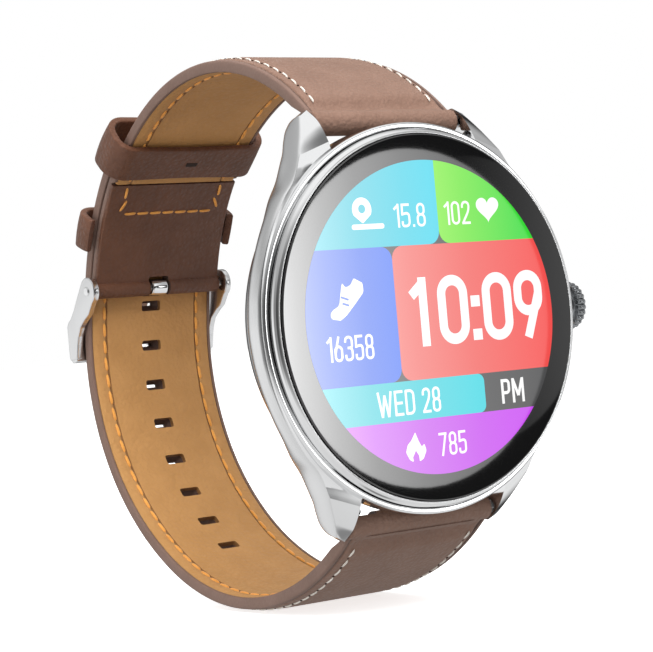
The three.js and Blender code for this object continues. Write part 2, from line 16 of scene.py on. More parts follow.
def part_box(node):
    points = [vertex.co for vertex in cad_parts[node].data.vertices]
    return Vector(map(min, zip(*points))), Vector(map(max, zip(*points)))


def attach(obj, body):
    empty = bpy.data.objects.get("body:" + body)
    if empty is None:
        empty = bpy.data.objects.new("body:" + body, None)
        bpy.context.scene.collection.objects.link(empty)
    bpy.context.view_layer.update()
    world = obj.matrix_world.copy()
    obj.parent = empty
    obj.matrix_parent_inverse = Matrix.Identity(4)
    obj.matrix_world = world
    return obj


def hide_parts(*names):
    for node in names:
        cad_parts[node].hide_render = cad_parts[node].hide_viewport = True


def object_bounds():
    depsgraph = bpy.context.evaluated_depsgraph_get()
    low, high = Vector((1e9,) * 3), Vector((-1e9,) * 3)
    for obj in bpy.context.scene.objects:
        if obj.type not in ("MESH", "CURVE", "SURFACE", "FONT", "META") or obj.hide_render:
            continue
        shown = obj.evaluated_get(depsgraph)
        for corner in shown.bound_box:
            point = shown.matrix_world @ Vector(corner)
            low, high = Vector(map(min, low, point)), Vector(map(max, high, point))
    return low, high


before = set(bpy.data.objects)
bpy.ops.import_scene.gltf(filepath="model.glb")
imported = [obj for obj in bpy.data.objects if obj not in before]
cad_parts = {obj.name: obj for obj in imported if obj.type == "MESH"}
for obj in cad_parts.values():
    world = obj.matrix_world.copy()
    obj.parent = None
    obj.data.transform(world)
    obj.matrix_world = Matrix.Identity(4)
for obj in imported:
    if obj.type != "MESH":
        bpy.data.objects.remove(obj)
cad_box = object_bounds()

MM = 0.001
AXIS = 0.001                                 # the least radius of a turned shape
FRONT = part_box("cover_glass")[0].y / MM      # the glass front in frame millimetres


def box(node):
    """A node's lowest and highest corners in watch millimetres."""
    return [np.array(corner) / MM - (0, FRONT, 0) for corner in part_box(node)]


def middle(node):
    return sum(box(node)) / 2


def axle(node):
    """The middle of a part that lies along x, taken at x = 0."""
    return middle(node) * (0, 1, 1)


# ---- meshes
def added(name, data):
    obj = bpy.data.objects.new(name, data)
    bpy.context.scene.collection.objects.link(obj)
    return obj


def solid(name, shape, materials, tag=None):
    """An object from a shape; tag, when given, is the material number of every face."""
    points, faces, tags = shape
    mesh = bpy.data.meshes.new(name)
    mesh.from_pydata(((np.asarray(points) + (0, FRONT, 0)) * MM).tolist(), [], faces)
    for material in materials:
        mesh.materials.append(material)
    mesh.polygons.foreach_set("material_index", tags if tag is None else [tag] * len(faces))
    obj = added(name, mesh)
    tidy(obj)
    return obj


def tidy(obj):
    bm = bmesh.new()
    bm.from_mesh(obj.data)
    bmesh.ops.remove_doubles(bm, verts=bm.verts, dist=1e-7)
    bmesh.ops.recalc_face_normals(bm, faces=bm.faces)
    bm.to_mesh(obj.data)
    bm.free()


def boolean(body, shape, operation, tag):
    """Cuts or joins with the exact solver; the tool has the body's materials."""
    tool = solid("tool", shape, list(body.data.materials), tag)
    bpy.context.view_layer.update()
    modifier = body.modifiers.new("cut", "BOOLEAN")
    modifier.operation, modifier.solver, modifier.object = operation, "EXACT", tool
    graph = bpy.context.evaluated_depsgraph_get()
    made = bpy.data.meshes.new_from_object(body.evaluated_get(graph))
    body.modifiers.clear()
    body.data = made
    bpy.data.objects.remove(tool)


def join(body, shape, tag=None):
    boolean(body, shape, "UNION", tag)


def cut(body, shape, tag=None):
    boolean(body, shape, "DIFFERENCE", tag)


def finish(obj, name, smooth, replaces=None, body="root"):
    """Names and shades a piece, hangs it from its body's empty and hides the part it replaces; edges sharper
    than smooth degrees stay sharp.
    """
    obj.name = obj.data.name = name
    obj.data.polygons.foreach_set("use_smooth", [True] * len(obj.data.polygons))
    obj.data.set_sharp_from_angle(angle=math.radians(smooth))
    obj.data.update()
    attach(obj, body)
    if replaces:
        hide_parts(replaces)
    return obj


def piece(name, shape, material, smooth, replaces=None, body="root"):
    return finish(solid(name, shape, [material]), name, smooth, replaces, body)


# ---- shapes
def skin(rings, closed=False, slots=None):
    """Faces over equal rings of points; slots gives one material number per place in the ring."""
    rings = np.asarray(rings, float)
    count, width = rings.shape[:2]
    slots = slots or [0] * width
    faces, tags = [], []
    for i in range(count if closed else count - 1):
        a, b = i * width, (i + 1) % count * width
        faces += [(a + k, a + (k + 1) % width, b + (k + 1) % width, b + k) for k in range(width)]
        tags += slots
    if not closed:
        faces += [tuple(range(width)), tuple(range((count - 1) * width, count * width))]
        tags += [slots[0]] * 2
    return rings.reshape(-1, 3), faces, tags


def merge(shapes):
    points, faces, tags = [], [], []
    for p, f, t in shapes:
        faces += [tuple(i + len(points) for i in face) for face in f]
        points += [tuple(q) for q in p]
        tags += t
    return points, faces, tags


def mirrored(shape, side):
    """The shape itself, or its mirror image in x where side is -1."""
    points, faces, tags = shape
    return points * (side, 1, 1), faces, tags


def around(count):
    """Even angles once round a circle."""
    return np.linspace(0, 2 * math.pi, count, endpoint=False)


def unit(v):
    return v / np.linalg.norm(v, axis=-1, keepdims=True)


def turned(profile, axis="d", segments=192, centre=(0, 0, 0)):
    """A closed profile of (radius, along) turned about the depth axis or the x axis."""
    angle = around(segments)[:, None]
    r, along = np.asarray(profile, float).T[:, None]
    c, s, flat = r * np.cos(angle), r * np.sin(angle), along + 0 * angle
    rings = np.stack((c, flat, s) if axis == "d" else (flat, c, s), axis=2)
    return skin(rings + np.asarray(centre, float), closed=True)


def corners(a0, a1, b0, b1):
    """The four corners of an upright rectangle."""
    return [(a0, b0), (a1, b0), (a1, b1), (a0, b1)]


def rod(radius, start, end, axis="d", segments=32, centre=(0, 0, 0)):
    return turned(corners(AXIS, radius, start, end), axis, segments, centre)


def block(x0, x1, d0, d1, z0, z1):
    return skin([[(x, d, z) for d, z in corners(d0, d1, z0, z1)] for x in (x0, x1)])


def rounded(points, radius=None, steps=5):
    """A closed outline with arcs for corners; a point's third number is its radius if none is given."""
    pts = [complex(*p[:2]) for p in points]
    if radius is None:
        radius = [p[2] for p in points]
    radii = [radius] * len(pts) if np.isscalar(radius) else radius
    out = []
    for i, (p, radius) in enumerate(zip(pts, radii)):
        a, b = pts[i - 1] - p, pts[(i + 1) % len(pts)] - p
        longest = 0.49 * min(abs(a), abs(b))
        a, b = a / abs(a), b / abs(b)
        half = math.acos(max(-1, min(1, (a * b.conjugate()).real))) / 2
        if radius <= 0 or half > 1.55:
            out.append(p)
            continue
        reach = min(radius / math.tan(half), longest)
        centre = p + (a + b) / abs(a + b) * reach / math.cos(half)
        start, end = p + a * reach - centre, p + b * reach - centre
        turn = cmath.phase(end / start)
        out += [centre + start * cmath.exp(1j * turn * k / steps) for k in range(steps + 1)]
    return np.column_stack([np.real(out), np.imag(out)])


def inset(outline, amount):
    """The outline moved inwards by an amount along its own normals; it runs either way round."""
    p = np.asarray(outline, float)
    before, after = np.roll(p, 1, 0), np.roll(p, -1, 0)
    t = (after - p) / (np.linalg.norm(after - p, axis=1)[:, None] + 1e-9)
    t += (p - before) / (np.linalg.norm(p - before, axis=1)[:, None] + 1e-9)
    n = np.column_stack([-t[:, 1], t[:, 0]])
    n /= np.linalg.norm(n, axis=1)[:, None] + 1e-9
    return p + n * amount * (1 if np.sum(across(p.T, after.T)) > 0 else -1)


def across(a, b):
    """The cross product of flat vectors."""
    return a[0] * b[1] - a[1] * b[0]


def plate(outline, low, high, bevel):
    """A plate with rounded edges: an outline in (d, z) between two levels along x."""
    quarter = np.linspace(0, math.pi / 2, 5)
    levels = [(bevel * (1 - math.sin(t)), low + bevel * (1 - math.cos(t))) for t in quarter]
    levels += [(i, low + high - level) for i, level in reversed(levels)]
    return skin([np.insert(inset(outline, i), 0, level, axis=1) for i, level in levels])


def arc(centre, radius, start, end, steps):
    t = np.radians(np.linspace(start, end, steps + 1))
    return np.column_stack([centre[0] + radius * np.cos(t), centre[1] + radius * np.sin(t)])


def run_along(line):
    """The distance from the start of a line to each of its points."""
    return np.concatenate([[0], np.cumsum(np.linalg.norm(np.diff(line, axis=0), axis=1))])


def smooth_curve(knots):
    """A monotone cubic through (place, value) knots."""
    x, y = np.array(knots, float).T
    h, d = np.diff(x), np.diff(y) / np.diff(x)
    m = np.zeros(len(x))
    m[0], m[-1] = (0 if x[0] == 0 else d[0]), d[-1]
    for i in range(1, len(x) - 1):
        if d[i - 1] * d[i] > 0:
            w1, w2 = 2 * h[i] + h[i - 1], h[i] + 2 * h[i - 1]
            m[i] = (w1 + w2) / (w1 / d[i - 1] + w2 / d[i])

    def value(at):
        at = np.clip(at, x[0], x[-1])
        i = np.clip(np.searchsorted(x, at) - 1, 0, len(h) - 1)
        t = (at - x[i]) / h[i]
        return ((1 + 2 * t) * (1 - t) ** 2 * y[i] + t * (1 - t) ** 2 * h[i] * m[i]
                + t * t * (3 - 2 * t) * y[i + 1] + t * t * (t - 1) * h[i] * m[i + 1])
    return value


# ---- materials
class Rig:
    """A short way to lay out a node tree."""

    def __init__(self, owner):
        owner.use_nodes = True
        self.tree = owner.node_tree
        self.tree.nodes.clear()

    def feed(self, socket, value):
        """Links an output to a socket, or sets its own value."""
        if isinstance(value, bpy.types.NodeSocket):
            self.tree.links.new(value, socket)
        else:
            socket.default_value = (*value, 1) if socket.type == "RGBA" else value

    def node(self, kind, sockets, get=0, **properties):
        """Adds a node and gives back one of its outputs."""
        made = self.tree.nodes.new("ShaderNode" + kind)
        for key, value in properties.items():
            setattr(made, key, value)
        for key, value in sockets.items():
            self.feed(made.inputs[key], value)
        return made.outputs[get] if made.outputs else None

    def ramp(self, source, stops):
        """A colour ramp through (place, grey or colour) stops."""
        colour = self.node("ValToRGB", {"Fac": source})
        elements = colour.node.color_ramp.elements
        while len(elements) < len(stops):
            elements.new(0.5)
        for element, (at, value) in zip(elements, stops):
            element.position = at
            element.color = (*(value if isinstance(value, tuple) else (value,) * 3), 1)
        return colour

    def multiply(self, a, b):
        sockets = {"Factor": 1.0, "A": a, "B": b}
        return self.node("Mix", sockets, "Result", data_type="RGBA", blend_type="MULTIPLY")


class Shader(Rig):
    """A material with one Principled shader; its values are numbers, colours or outputs."""

    def __init__(self, name, **values):
        self.material = bpy.data.materials.new(name)
        super().__init__(self.material)
        surface = self.node("BsdfPrincipled", {})
        self.node("OutputMaterial", {"Surface": surface})
        self.inputs = surface.node.inputs
        self.set(**values)

    def set(self, **values):
        for key, value in values.items():
            self.feed(self.inputs[key.replace("_", " ")], value)
        return self.material

    def place(self, scale=(1, 1, 1)):
        return self.node("Mapping", {"Vector": self.node("TexCoord", {}, "Object"), "Scale": scale})

    def noise(self, scale, detail, stretch=(1, 1, 1), rough=0.55):
        sockets = {"Scale": scale, "Detail": detail, "Roughness": rough, "Vector": self.place(stretch)}
        return self.node("TexNoise", sockets, "Fac")

    def bump(self, height, distance, strength, after=None):
        sockets = {"Height": height, "Distance": distance, "Strength": strength}
        if after:
            sockets["Normal"] = after
        return self.node("Bump", sockets)


def polished(name, colour, rough=0.07):
    s = Shader(name, Base_Color=colour, Metallic=1.0)
    return s.set(Roughness=s.ramp(s.noise(900, 4), [(0.35, rough), (0.75, rough * 1.5)]),
                 Normal=s.bump(s.noise(350, 2), 0.000002, 0.08))


def satin(name, colour, rough=0.22, stretch=(1, 1, 0.04)):
    s = Shader(name, Metallic=1.0)
    grain = s.noise(9000, 3, stretch, 0.7)
    return s.set(Base_Color=s.ramp(grain, [(0.3, tuple(c * 0.95 for c in colour)), (0.7, colour)]),
                 Roughness=s.ramp(grain, [(0.25, rough * 0.92), (0.75, rough * 1.1)]),
                 Normal=s.bump(grain, 0.000003, 0.05))


def leather(name, light, dark, grain=0.00055, rough=(0.42, 0.6), sheen=0.04, depth=0.00011):
    """Fine pebbled leather: cells of grain, soft mottling of the dye and pores."""
    s = Shader(name, Sheen_Weight=sheen, Sheen_Roughness=0.45, Specular_IOR_Level=0.35)
    warp = s.node("TexNoise", {"Scale": 0.35 / grain, "Vector": s.place()}, "Color")
    shift = s.node("VectorMath", {0: warp, 1: (grain * 1.2,) * 3, 2: s.place()}, operation="MULTIPLY_ADD")
    cells = s.node("TexVoronoi", {"Scale": 1 / grain, "Vector": shift}, "Distance", feature="F1")
    pebbles = s.bump(cells, -depth, 0.8)
    return s.set(Base_Color=s.ramp(s.noise(240, 4), [(0.28, dark), (0.72, light)]),
                 Roughness=s.ramp(cells, [(0.1, rough[0]), (0.7, rough[1])]),
                 Normal=s.bump(s.noise(2600, 3), depth * 0.8, 0.7, pebbles))


def plastic(name, colour, rough=0.45):
    s = Shader(name, Base_Color=colour)
    return s.set(Roughness=s.ramp(s.noise(5000, 3), [(0.3, rough * 0.85), (0.7, rough * 1.15)]),
                 Normal=s.bump(s.noise(9000, 3), 0.000008, 0.4))


def board_material():
    """Solder mask with finer copper runs showing through."""
    s = Shader("board_green", Roughness=0.35, Coat_Weight=0.4, Coat_Roughness=0.15)
    colours = {"Color1": (0.02, 0.14, 0.07), "Color2": (0.025, 0.17, 0.09), "Mortar": (0.12, 0.34, 0.14)}
    return s.set(Base_Color=s.node("TexBrick", {"Scale": 900, "Vector": s.place(), **colours}, "Color"))


def glass_material():
    """Near-black cover glass with a faint dark-grey print under it."""
    s = Shader("dark_glass", Specular_IOR_Level=0.5, IOR=1.9, Roughness=0.02)
    greys = [(0.3, (0.0018, 0.0018, 0.002)), (0.7, (0.003, 0.003, 0.0034))]
    return s.set(Base_Color=s.ramp(s.noise(60, 2), greys))


def lit(name, left, right=None, span=(-18, 18)):
    """A glowing area of the display seen through the glass; its colour drifts from left to right."""
    s = Shader(name, Base_Color=(0.002, 0.002, 0.002), IOR=1.8, Roughness=0.02, Emission_Strength=1.0)
    x = s.node("SeparateXYZ", {0: s.place()}, "X")
    share = s.node("MapRange", {"Value": x, "From Min": span[0] * MM, "From Max": span[1] * MM})
    drift = s.ramp(share, [(0.0, left), (1.0, right or left)])
    return s.set(Emission_Color=s.multiply(drift, s.ramp(s.noise(12000, 2), [(0.3, 0.97), (0.7, 1.0)])))


STEEL = polished("polished_steel", (0.86, 0.865, 0.87))
STEEL_DARK = polished("dark_polished_steel", (0.30, 0.31, 0.32), 0.12)
SATIN = satin("satin_steel", (0.82, 0.825, 0.83))
SATIN_ROUND = satin("satin_bar_steel", (0.80, 0.805, 0.81), 0.24, (1, 1, 0.05))
GLASS = glass_material()
LEATHER = leather("strap_leather_taupe", (0.280, 0.165, 0.120), (0.236, 0.136, 0.097))
# edge paint on the strap's sides, set a little darker than the face as painted shade
EDGE = leather("strap_edge_paint_and_shade", (0.240, 0.152, 0.120), (0.200, 0.124, 0.096), 0.0004, (0.5, 0.65), 0.03,
               0.00003)
# painted shadow: dark brown along the pressed crease by the strap's edge and on the walls of cut holes,
# notches and bar holes
CREASE_AND_HOLE_SHADE = leather("strap_crease_shadow", (0.115, 0.066, 0.050), (0.085, 0.048, 0.036))
BROWN = leather("turned_leather_brown", (0.155, 0.066, 0.037), (0.118, 0.050, 0.028), 0.0006, (0.36, 0.54),
                0.06, 0.00012)
LINING = leather("lining_leather_tan", (0.60, 0.315, 0.112), (0.53, 0.272, 0.092), 0.0007, (0.5, 0.66), 0.04,
                 0.0001)
# painted shade: a darker tan in the lining's stitch grooves and on the walls of its holes
LINING_GROOVE_SHADE = leather("lining_groove_painted_shade", (0.30, 0.145, 0.050), (0.23, 0.110, 0.038), 0.0007)
CREAM = leather("cream_thread", (0.90, 0.85, 0.78), (0.74, 0.68, 0.60), 0.00012, (0.5, 0.7), 0.3, 0.00003)
ORANGE = leather("orange_thread", (0.98, 0.45, 0.10), (0.78, 0.33, 0.06), 0.00012, (0.5, 0.7), 0.3, 0.00003)
# painted shade: near-black pieces set into the needle holes and the keeper's slit stand for the shade inside
# them
HOLE_SHADE = plastic("hole_painted_shade", (0.025, 0.012, 0.008), 0.8)
BLACK = plastic("black_plastic", (0.016, 0.016, 0.018))
RUBBER = plastic("seal_rubber", (0.012, 0.012, 0.012), 0.8)
FOIL = satin("battery_foil", (0.50, 0.52, 0.54), 0.35, (1, 1, 1))
COPPER = satin("copper_flex", (0.62, 0.33, 0.12), 0.3, (1, 1, 0.2))
GOLD = polished("gold_plate", (0.86, 0.62, 0.24), 0.12)
BOARD = board_material()
SENSOR = glass_material()
WHITE = lit("glow_white", (0.93, 0.93, 0.93))


# ---- watch case
LUG_X = 10.8
BARREL_INNER, RAIL_INNER = 21.9, 20.8        # radii of the rail's inner faces, in front and behind
KNEE = 0.8                                   # share of a rail at which its crease crosses the lug
OUTER_Z, INNER_Z = (0, 19.4, 24.25), (0, 20.8, 24.9)     # middle, knee and tip, at both edges
BAND_STEPS, BACK_STEPS, FACE_STEPS = 18, 8, 6
RAIL_SLOTS = [1] * FACE_STEPS + [0] * (BAND_STEPS + BACK_STEPS) + [1] * 3
CASE_PROFILE = [(20.25, 1.75, 0.05), (22.05, 1.75, 0.05), (22.1, 1.42, 0.08), (22.55, 1.38, 0.14),
                (22.75, 1.62, 0.14), (22.75, 4.4, 0.3), (21.4, 4.7, 0.3), (21.25, 5.6, 0.3),
                (20.6, 8.0, 0.3),
                (20.42, 8.6, 0.05), (20.25, 8.6, 0.02)]

outer_x = smooth_curve([(z, math.sqrt(23.3 ** 2 - z * z)) for z in (0, 3, 6, 9, 12, 14.5)]
                       + [(16.4, 16.55), (19.4, 14.95), (22.2, 13.35), (24.3, 12.1)])
crease_in = smooth_curve([(0, 0.5), (12, 0.4), (16.4, 0.28), (24.3, 0.15)])
back_in = smooth_curve([(0, 0.8), (12, 0.75), (16.4, 0.6), (20, 0.45), (24.3, 0.3)])
back_d = smooth_curve([(0, 4.7), (4, 4.6), (8, 4.55), (11.9, 4.9), (14.6, 6.0), (16.1, 6.7), (17.6, 6.95),
                       (19.7, 7.2), (21.5, 8.0), (22.8, 8.4), (23.6, 8.2), (24.05, 7.6), (24.25, 6.7)])
inner_back_d = smooth_curve([(0, 5.9), (12, 6.1), (15, 6.7), (17.5, 7.3), (20, 7.6), (22, 8.2), (23.4, 8.5),
                             (24.3, 8.3), (24.75, 7.7), (24.9, 6.9)])


def two_part(first, second):
    """Two curves that meet at an angle, which leaves a ridge across the lug."""
    low, high = smooth_curve(first), smooth_curve(second)
    return lambda at: low(at) if at <= second[0][0] else high(at)


crease_d = two_part([(0, 1.6), (9, 1.8), (16.4, 2.5), (19.4, 3.1)], [(19.4, 3.1), (22.2, 4.7), (24.3, 6.2)])
inner_d = two_part([(0, 1.55), (16, 1.6), (18, 1.9), (20.8, 2.75)],
                   [(20.8, 2.75), (22.0, 3.45), (23.5, 4.6), (24.9, 6.5)])


def inner_x(z, radius):
    return max(LUG_X, math.sqrt(max(radius ** 2 - z ** 2, 0)))


def rail_ring(share):
    """One section of a rail; share runs from the lower lug tip, -1, to the upper one, 1."""
    zo, zi = (np.interp(abs(share), (0, KNEE, 1), z) for z in (OUTER_Z, INNER_Z))
    top = outer_x(zo)
    crease = np.array([top - crease_in(zo), crease_d(zo), zo])
    back = np.array([top - back_in(zo), back_d(zo), zo])
    inner = np.array([inner_x(zi, BARREL_INNER), inner_d(zi), zi])
    behind = np.array([inner_x(zi, RAIL_INNER), inner_back_d(zi), zi])
    points = [inner + (crease - inner) * t for t in np.linspace(0, 1, FACE_STEPS + 1)[:-1]]
    bulge = top - (crease[0] + back[0]) / 2
    for t in np.linspace(0, math.pi, BAND_STEPS + 1):
        points.append(crease + (back - crease) * (0.5 - 0.5 * math.cos(t)) + (bulge * math.sin(t), 0, 0))
    for t in np.linspace(0, 1, BACK_STEPS + 1)[1:]:
        points.append(back + (behind - back) * (t, math.sin(t * math.pi / 2), t))
    points += [behind + (inner - behind) * t for t in (0.33, 0.66)]
    return np.array(points) * (1, 1, np.sign(share))


def rail():
    tip = KNEE + (1 - KNEE) * np.sin(np.linspace(0, math.pi / 2, 24))
    shares = np.concatenate([-tip[::-1], np.linspace(-KNEE, KNEE, 121)[1:-1], tip])
    return skin([rail_ring(s) for s in shares], slots=RAIL_SLOTS)


def build_case():
    case = solid("case", turned(rounded(CASE_PROFILE, steps=4), segments=256), [SATIN, STEEL], 1)
    for side in (1, -1):
        join(case, mirrored(rail(), side))
    cut(case, rod(1.5, 20.5, 24.5, "x", 48, axle("crown_tube")), 1)
    cut(case, rod(20.25, 0.5, 9.5, "d", 128), 1)
    for node in ("upper_spring_bar", "lower_spring_bar"):
        for side in (1, -1):
            cut(case, rod(0.5, side * 10.2, side * 12.1, "x", 32, axle(node)), 1)
    finish(case, "case_shell", 13, "case_body")


def build_bezel():
    profile = [(21.25, 1.42, 0.02), (21.25, 0.5, 0.2), (21.27, 0.32, 0.1), (21.38, 0.25, 0.12),
               (21.56, 0.32, 0.2),
               (21.74, 0.50, 0.25), (21.9, 0.76, 0.3), (21.98, 1.05, 0.3), (22.0, 1.42, 0.02)]
    ring = turned(rounded(profile, steps=4), segments=256)
    piece("bezel_polished_ring", ring, STEEL, 40, "bezel_ring")


def build_glass():
    rim, back = 21.22, 1.05                  # the lens reaches almost to the bezel
    profile = [(AXIS, 0.0), (12, 0.0), (rim - 0.17, 0.0), (rim - 0.16, 0.0), (rim - 0.08, 0.02),
               (rim - 0.02, 0.08), (rim, 0.18), (rim, back), (AXIS, back)]
    piece("glass_lens", turned(profile, segments=256), GLASS, 25, "cover_glass")


# ---- dial
CIRCLE = arc((0, 0), 18.15, 0, 360, 240)[:-1]
COL_A, COL_B, COL_C = 1.85, -5.36, 6.63
ROW_A, ROW_B, ROW_C = 8.36, -7.10, -11.63
FAR = 30                                     # anywhere past the edge of the display
INK_NEAR, INK_FAR = -0.016, 0.004            # depths of the white shapes
TILES = [                                    # name, sides, corner radii, left and right colours, drift
    ("distance", (-FAR, COL_A, ROW_A, FAR), (0, 1.5, 0, 0), (0, 0.42, 0.51), (0, 0.585, 0.735), (-13, 1)),
    ("pulse", (COL_A, FAR, ROW_A, FAR), (1.5, 0, 0, 0), (0.19, 0.74, 0.0), (0.0, 0.66, 0.0), (2, 14)),
    ("steps", (-FAR, COL_B, ROW_B, ROW_A), (0, 1.5, 1.5, 0), (0, 0.08, 0.5), (0.016, 0.135, 0.72),
     (-17, -6)),
    ("time", (COL_B, FAR, ROW_B, ROW_A), (1.5, 0, 0, 1.5), (0.73, 0.13, 0.11), (0.86, 0.04, 0.035),
     (-5, 17)),
    ("date", (-FAR, COL_C, ROW_C, ROW_B), (0, 0.9, 0.9, 0), (0.0, 0.46, 0.52), (0.0, 0.61, 0.69), (-13, 5)),
    ("energy", (-FAR, FAR, -FAR, ROW_C), (0, 0, 0, 0), (0.48, 0.066, 0.68), (0.54, 0.025, 0.81), (-9, 10)),
]
READINGS = {                                 # text, the box that it fills, weight of its strokes
    "time": [("1", (-3.2, -0.80, -3.35, 4.62), 1.18), ("0", (0.73, 5.23, -3.40, 4.66), 1.22),
             (":", (5.6, 7.1, -3.38, 4.62), 1.30), ("0", (7.45, 11.95, -3.38, 4.62), 1.22),
             ("9", (12.35, 16.78, -3.38, 4.62), 1.22)],
    "distance": [("15.8", (-4.56, 0.03, 10.45, 13.19), 0.29)],
    "pulse": [("102", (2.85, 6.73, 10.46, 13.2), 0.29)],
    "steps": [("16358", (-15.58, -9.04, -4.21, -1.36), 0.29)],
    "date": [("WED", (-9.25, -3.88, -10.95, -8.05), 0.31), ("28", (-2.79, -0.1, -10.95, -8.05), 0.31)],
    "half_day": [("PM", (9.14, 12.64, -10.92, -8.04), 0.37)],
    "energy": [("785", (-0.88, 3.18, -16.11, -13.42), 0.29)],
}
LETTER_WIDTH = {"1": 0.62, ".": 0.30, "W": 1.55, "M": 1.35, "E": 0.92, ":": 0.4}
SHOE = [(-14.66, 1.25, 0.5), (-14.6, 0.6, 0.6), (-13.3, 0.38, 0.5), (-12.4, 0.95, 0.6), (-11.15, 2.1, 0.8),
        (-9.8, 3.4, 0.7), (-9.88, 4.45, 0.25), (-11.05, 5.03, 0.15), (-11.55, 4.3, 0.6), (-12.35, 4.0, 0.4),
        (-12.72, 4.65, 0.1), (-13.05, 3.4, 0.3), (-13.35, 2.05, 0.8), (-14.2, 1.65, 0.4)]
FLAME = [(-4.24, -13.0, 0.05), (-4.9, -13.9, 0.3), (-5.45, -14.35, 0.3), (-5.8, -15.2, 0.5),
         (-5.3, -16.1, 0.4),
         (-4.75, -16.4, 0.1), (-4.85, -15.85, 0.2), (-4.35, -15.1, 0.05), (-3.95, -15.7, 0.2),
         (-3.9, -16.4, 0.1),
         (-3.3, -16.1, 0.4), (-2.8, -15.2, 0.5), (-3.05, -14.4, 0.1), (-3.45, -14.75, 0.15),
         (-3.85, -14.0, 0.3)]


def clip_round(outline):
    """Keeps the part of an outline inside the round display."""
    for a, b in zip(CIRCLE, np.roll(CIRCLE, -1, 0)):
        edge = b - a
        inside = [across(edge, p - a) >= 0 for p in outline]
        clipped = []
        for k, p in enumerate(outline):
            n = (k + 1) % len(outline)
            if inside[k]:
                clipped.append(p)
            if inside[k] != inside[n]:
                step = outline[n] - p
                clipped.append(p + step * across(edge, a - p) / across(edge, step))
        outline = clipped
    return np.array(outline)


def prism(outline, near=INK_NEAR, far=INK_FAR):
    """A thin solid with an (x, z) outline between two depths."""
    return skin([np.insert(outline, 1, depth, axis=1) for depth in (near, far)])


def band(left, right, closed, near=INK_NEAR):
    """A thin solid between two paired (x, z) lines."""
    sides = ((left, near), (right, near), (right, INK_FAR), (left, INK_FAR))
    return skin(np.stack([np.insert(line, 1, depth, axis=1) for line, depth in sides], axis=1), closed)


def stroke(path, weight, closed=False, near=INK_NEAR):
    """A band of even width along an (x, z) path."""
    p = np.asarray(path, float)
    t = unit(np.roll(p, -1, 0) - np.roll(p, 1, 0) if closed else np.gradient(p, axis=0))
    n = np.column_stack([-t[:, 1], t[:, 0]]) * weight / 2
    return band(p + n, p - n, closed, near)


def dial_piece(name, shape, material):
    """A flat piece of the dial; faces of many sides are split so that they stay flat."""
    obj = piece("dial_" + name, shape, material, 30)
    bm = bmesh.new()
    bm.from_mesh(obj.data)
    wide = [f for f in bm.faces if len(f.verts) > 4]
    bmesh.ops.triangulate(bm, faces=wide, ngon_method="EAR_CLIP")
    bm.to_mesh(obj.data)
    bm.free()


def line(*points):
    return points, False


def bent(radii, *points):
    """An open path with rounded corners."""
    p = [np.array(q, float) for q in points]
    out = [p[0]]
    for before, corner, after, radius in zip(p, p[1:], p[2:], radii):
        a, b = before - corner, after - corner
        la, lb = np.linalg.norm(a), np.linalg.norm(b)
        reach = min(radius, (0.499 if len(out) > 1 else 0.98) * la, 0.499 * lb)
        start, end = corner + a / la * reach, corner + b / lb * reach
        pull = corner * 0.9 + (start + end) * 0.05
        out += [(1 - t) ** 2 * start + 2 * t * (1 - t) * pull + t * t * end for t in np.linspace(0, 1, 9)]
    return np.array(out + [p[-1]]), False


def loop(radius, steps, *sides):
    return rounded(corners(*sides), radius, steps), True


def glyph(letter, w, h, t):
    """Centre lines of a condensed letter in a w by h box with strokes t wide: (path, closed) pairs."""
    a, r, m = t / 2, (w - t) / 2, h / 2
    right, top, waist = w - a, h - a, m + a * 0.4
    match letter:
        case "0":
            return [loop(r * 0.98, 10, a, right, a, top)]
        case "1":
            flag = h - t * 0.62
            return [line((right, 0), (right, h)), line((right, flag), (0.05 * w, flag - 0.17 * h))]
        case "2":
            return [bent([r, r, h * 0.2], (a, h * 0.70), (a, top), (right, top), (right, h * 0.60),
                         (a * 1.1, t * 0.7)),
                    line((0, a), (w, a))]
        case "3":
            return [bent([r, r, r * 0.9], (a, h * 0.74), (a, top), (right, top), (right, waist),
                         (w * 0.35, waist)),
                    bent([r * 0.9, r, r], (w * 0.35, waist), (right, waist), (right, a), (a, a),
                         (a, h * 0.26))]
        case "5":
            return [line((a * 0.6, top), (w - a * 0.5, top)), line((a * 1.3, h), (a * 1.1, m)),
                    bent([r, r, r], (a, m + a), (right, m + a * 2.2), (right, a), (a, a), (a, h * 0.26))]
        case "6" | "9":
            bowl = rounded(corners(a, right, a, h * 0.60), r * 0.98, 10)
            stem = np.array([(a + t * 0.04, h * 0.36), (w * 0.60, h)])
            if letter == "9":
                bowl, stem = (w, h) - bowl, (w, h) - stem
            return [(bowl, True), (stem, False)]
        case "7":
            return [line((0, top), (w, top)), line((w - a * 1.1, top), (w * 0.34, 0))]
        case "8":
            joint = m + a * 0.2
            return [loop(r * 0.9, 8, a * 1.25, w - a * 1.25, joint, top),
                    loop(r * 0.9, 8, a, right, a, joint)]
        case ":" | ".":
            side = t * 1.05 / 2
            spots = [side] if letter == "." else [h * 0.11, h * 0.60]
            return [line((w / 2 - side, z), (w / 2 + side, z)) for z in spots]
        case "W":
            path = list(zip((a * 0.9, w * 0.29, w * 0.5, w * 0.71, w - a * 0.9), (h, 0, h * 0.86, 0, h)))
            return [line(p, q) for p, q in zip(path, path[1:])]
        case "M":
            valley = (w / 2, h * 0.28)
            return [line((a, 0), (a, h)), line((right, 0), (right, h)), line((a * 1.1, h - a * 0.4), valley),
                    line((w - a * 1.1, h - a * 0.4), valley)]
        case "E":
            arms = [(a, w), (m, w - a * 0.6), (top, w)]
            return [line((a, 0), (a, h))] + [line((a, z), (end, z)) for z, end in arms]
        case "D":
            return [loop([0.02, r, r, 0.02], 8, a, right, a, top)]
        case _:
            return [line((a, 0), (a, h)), loop([0.02, r * 0.8, r * 0.8, 0.02], 8, a, right, h * 0.44, top)]


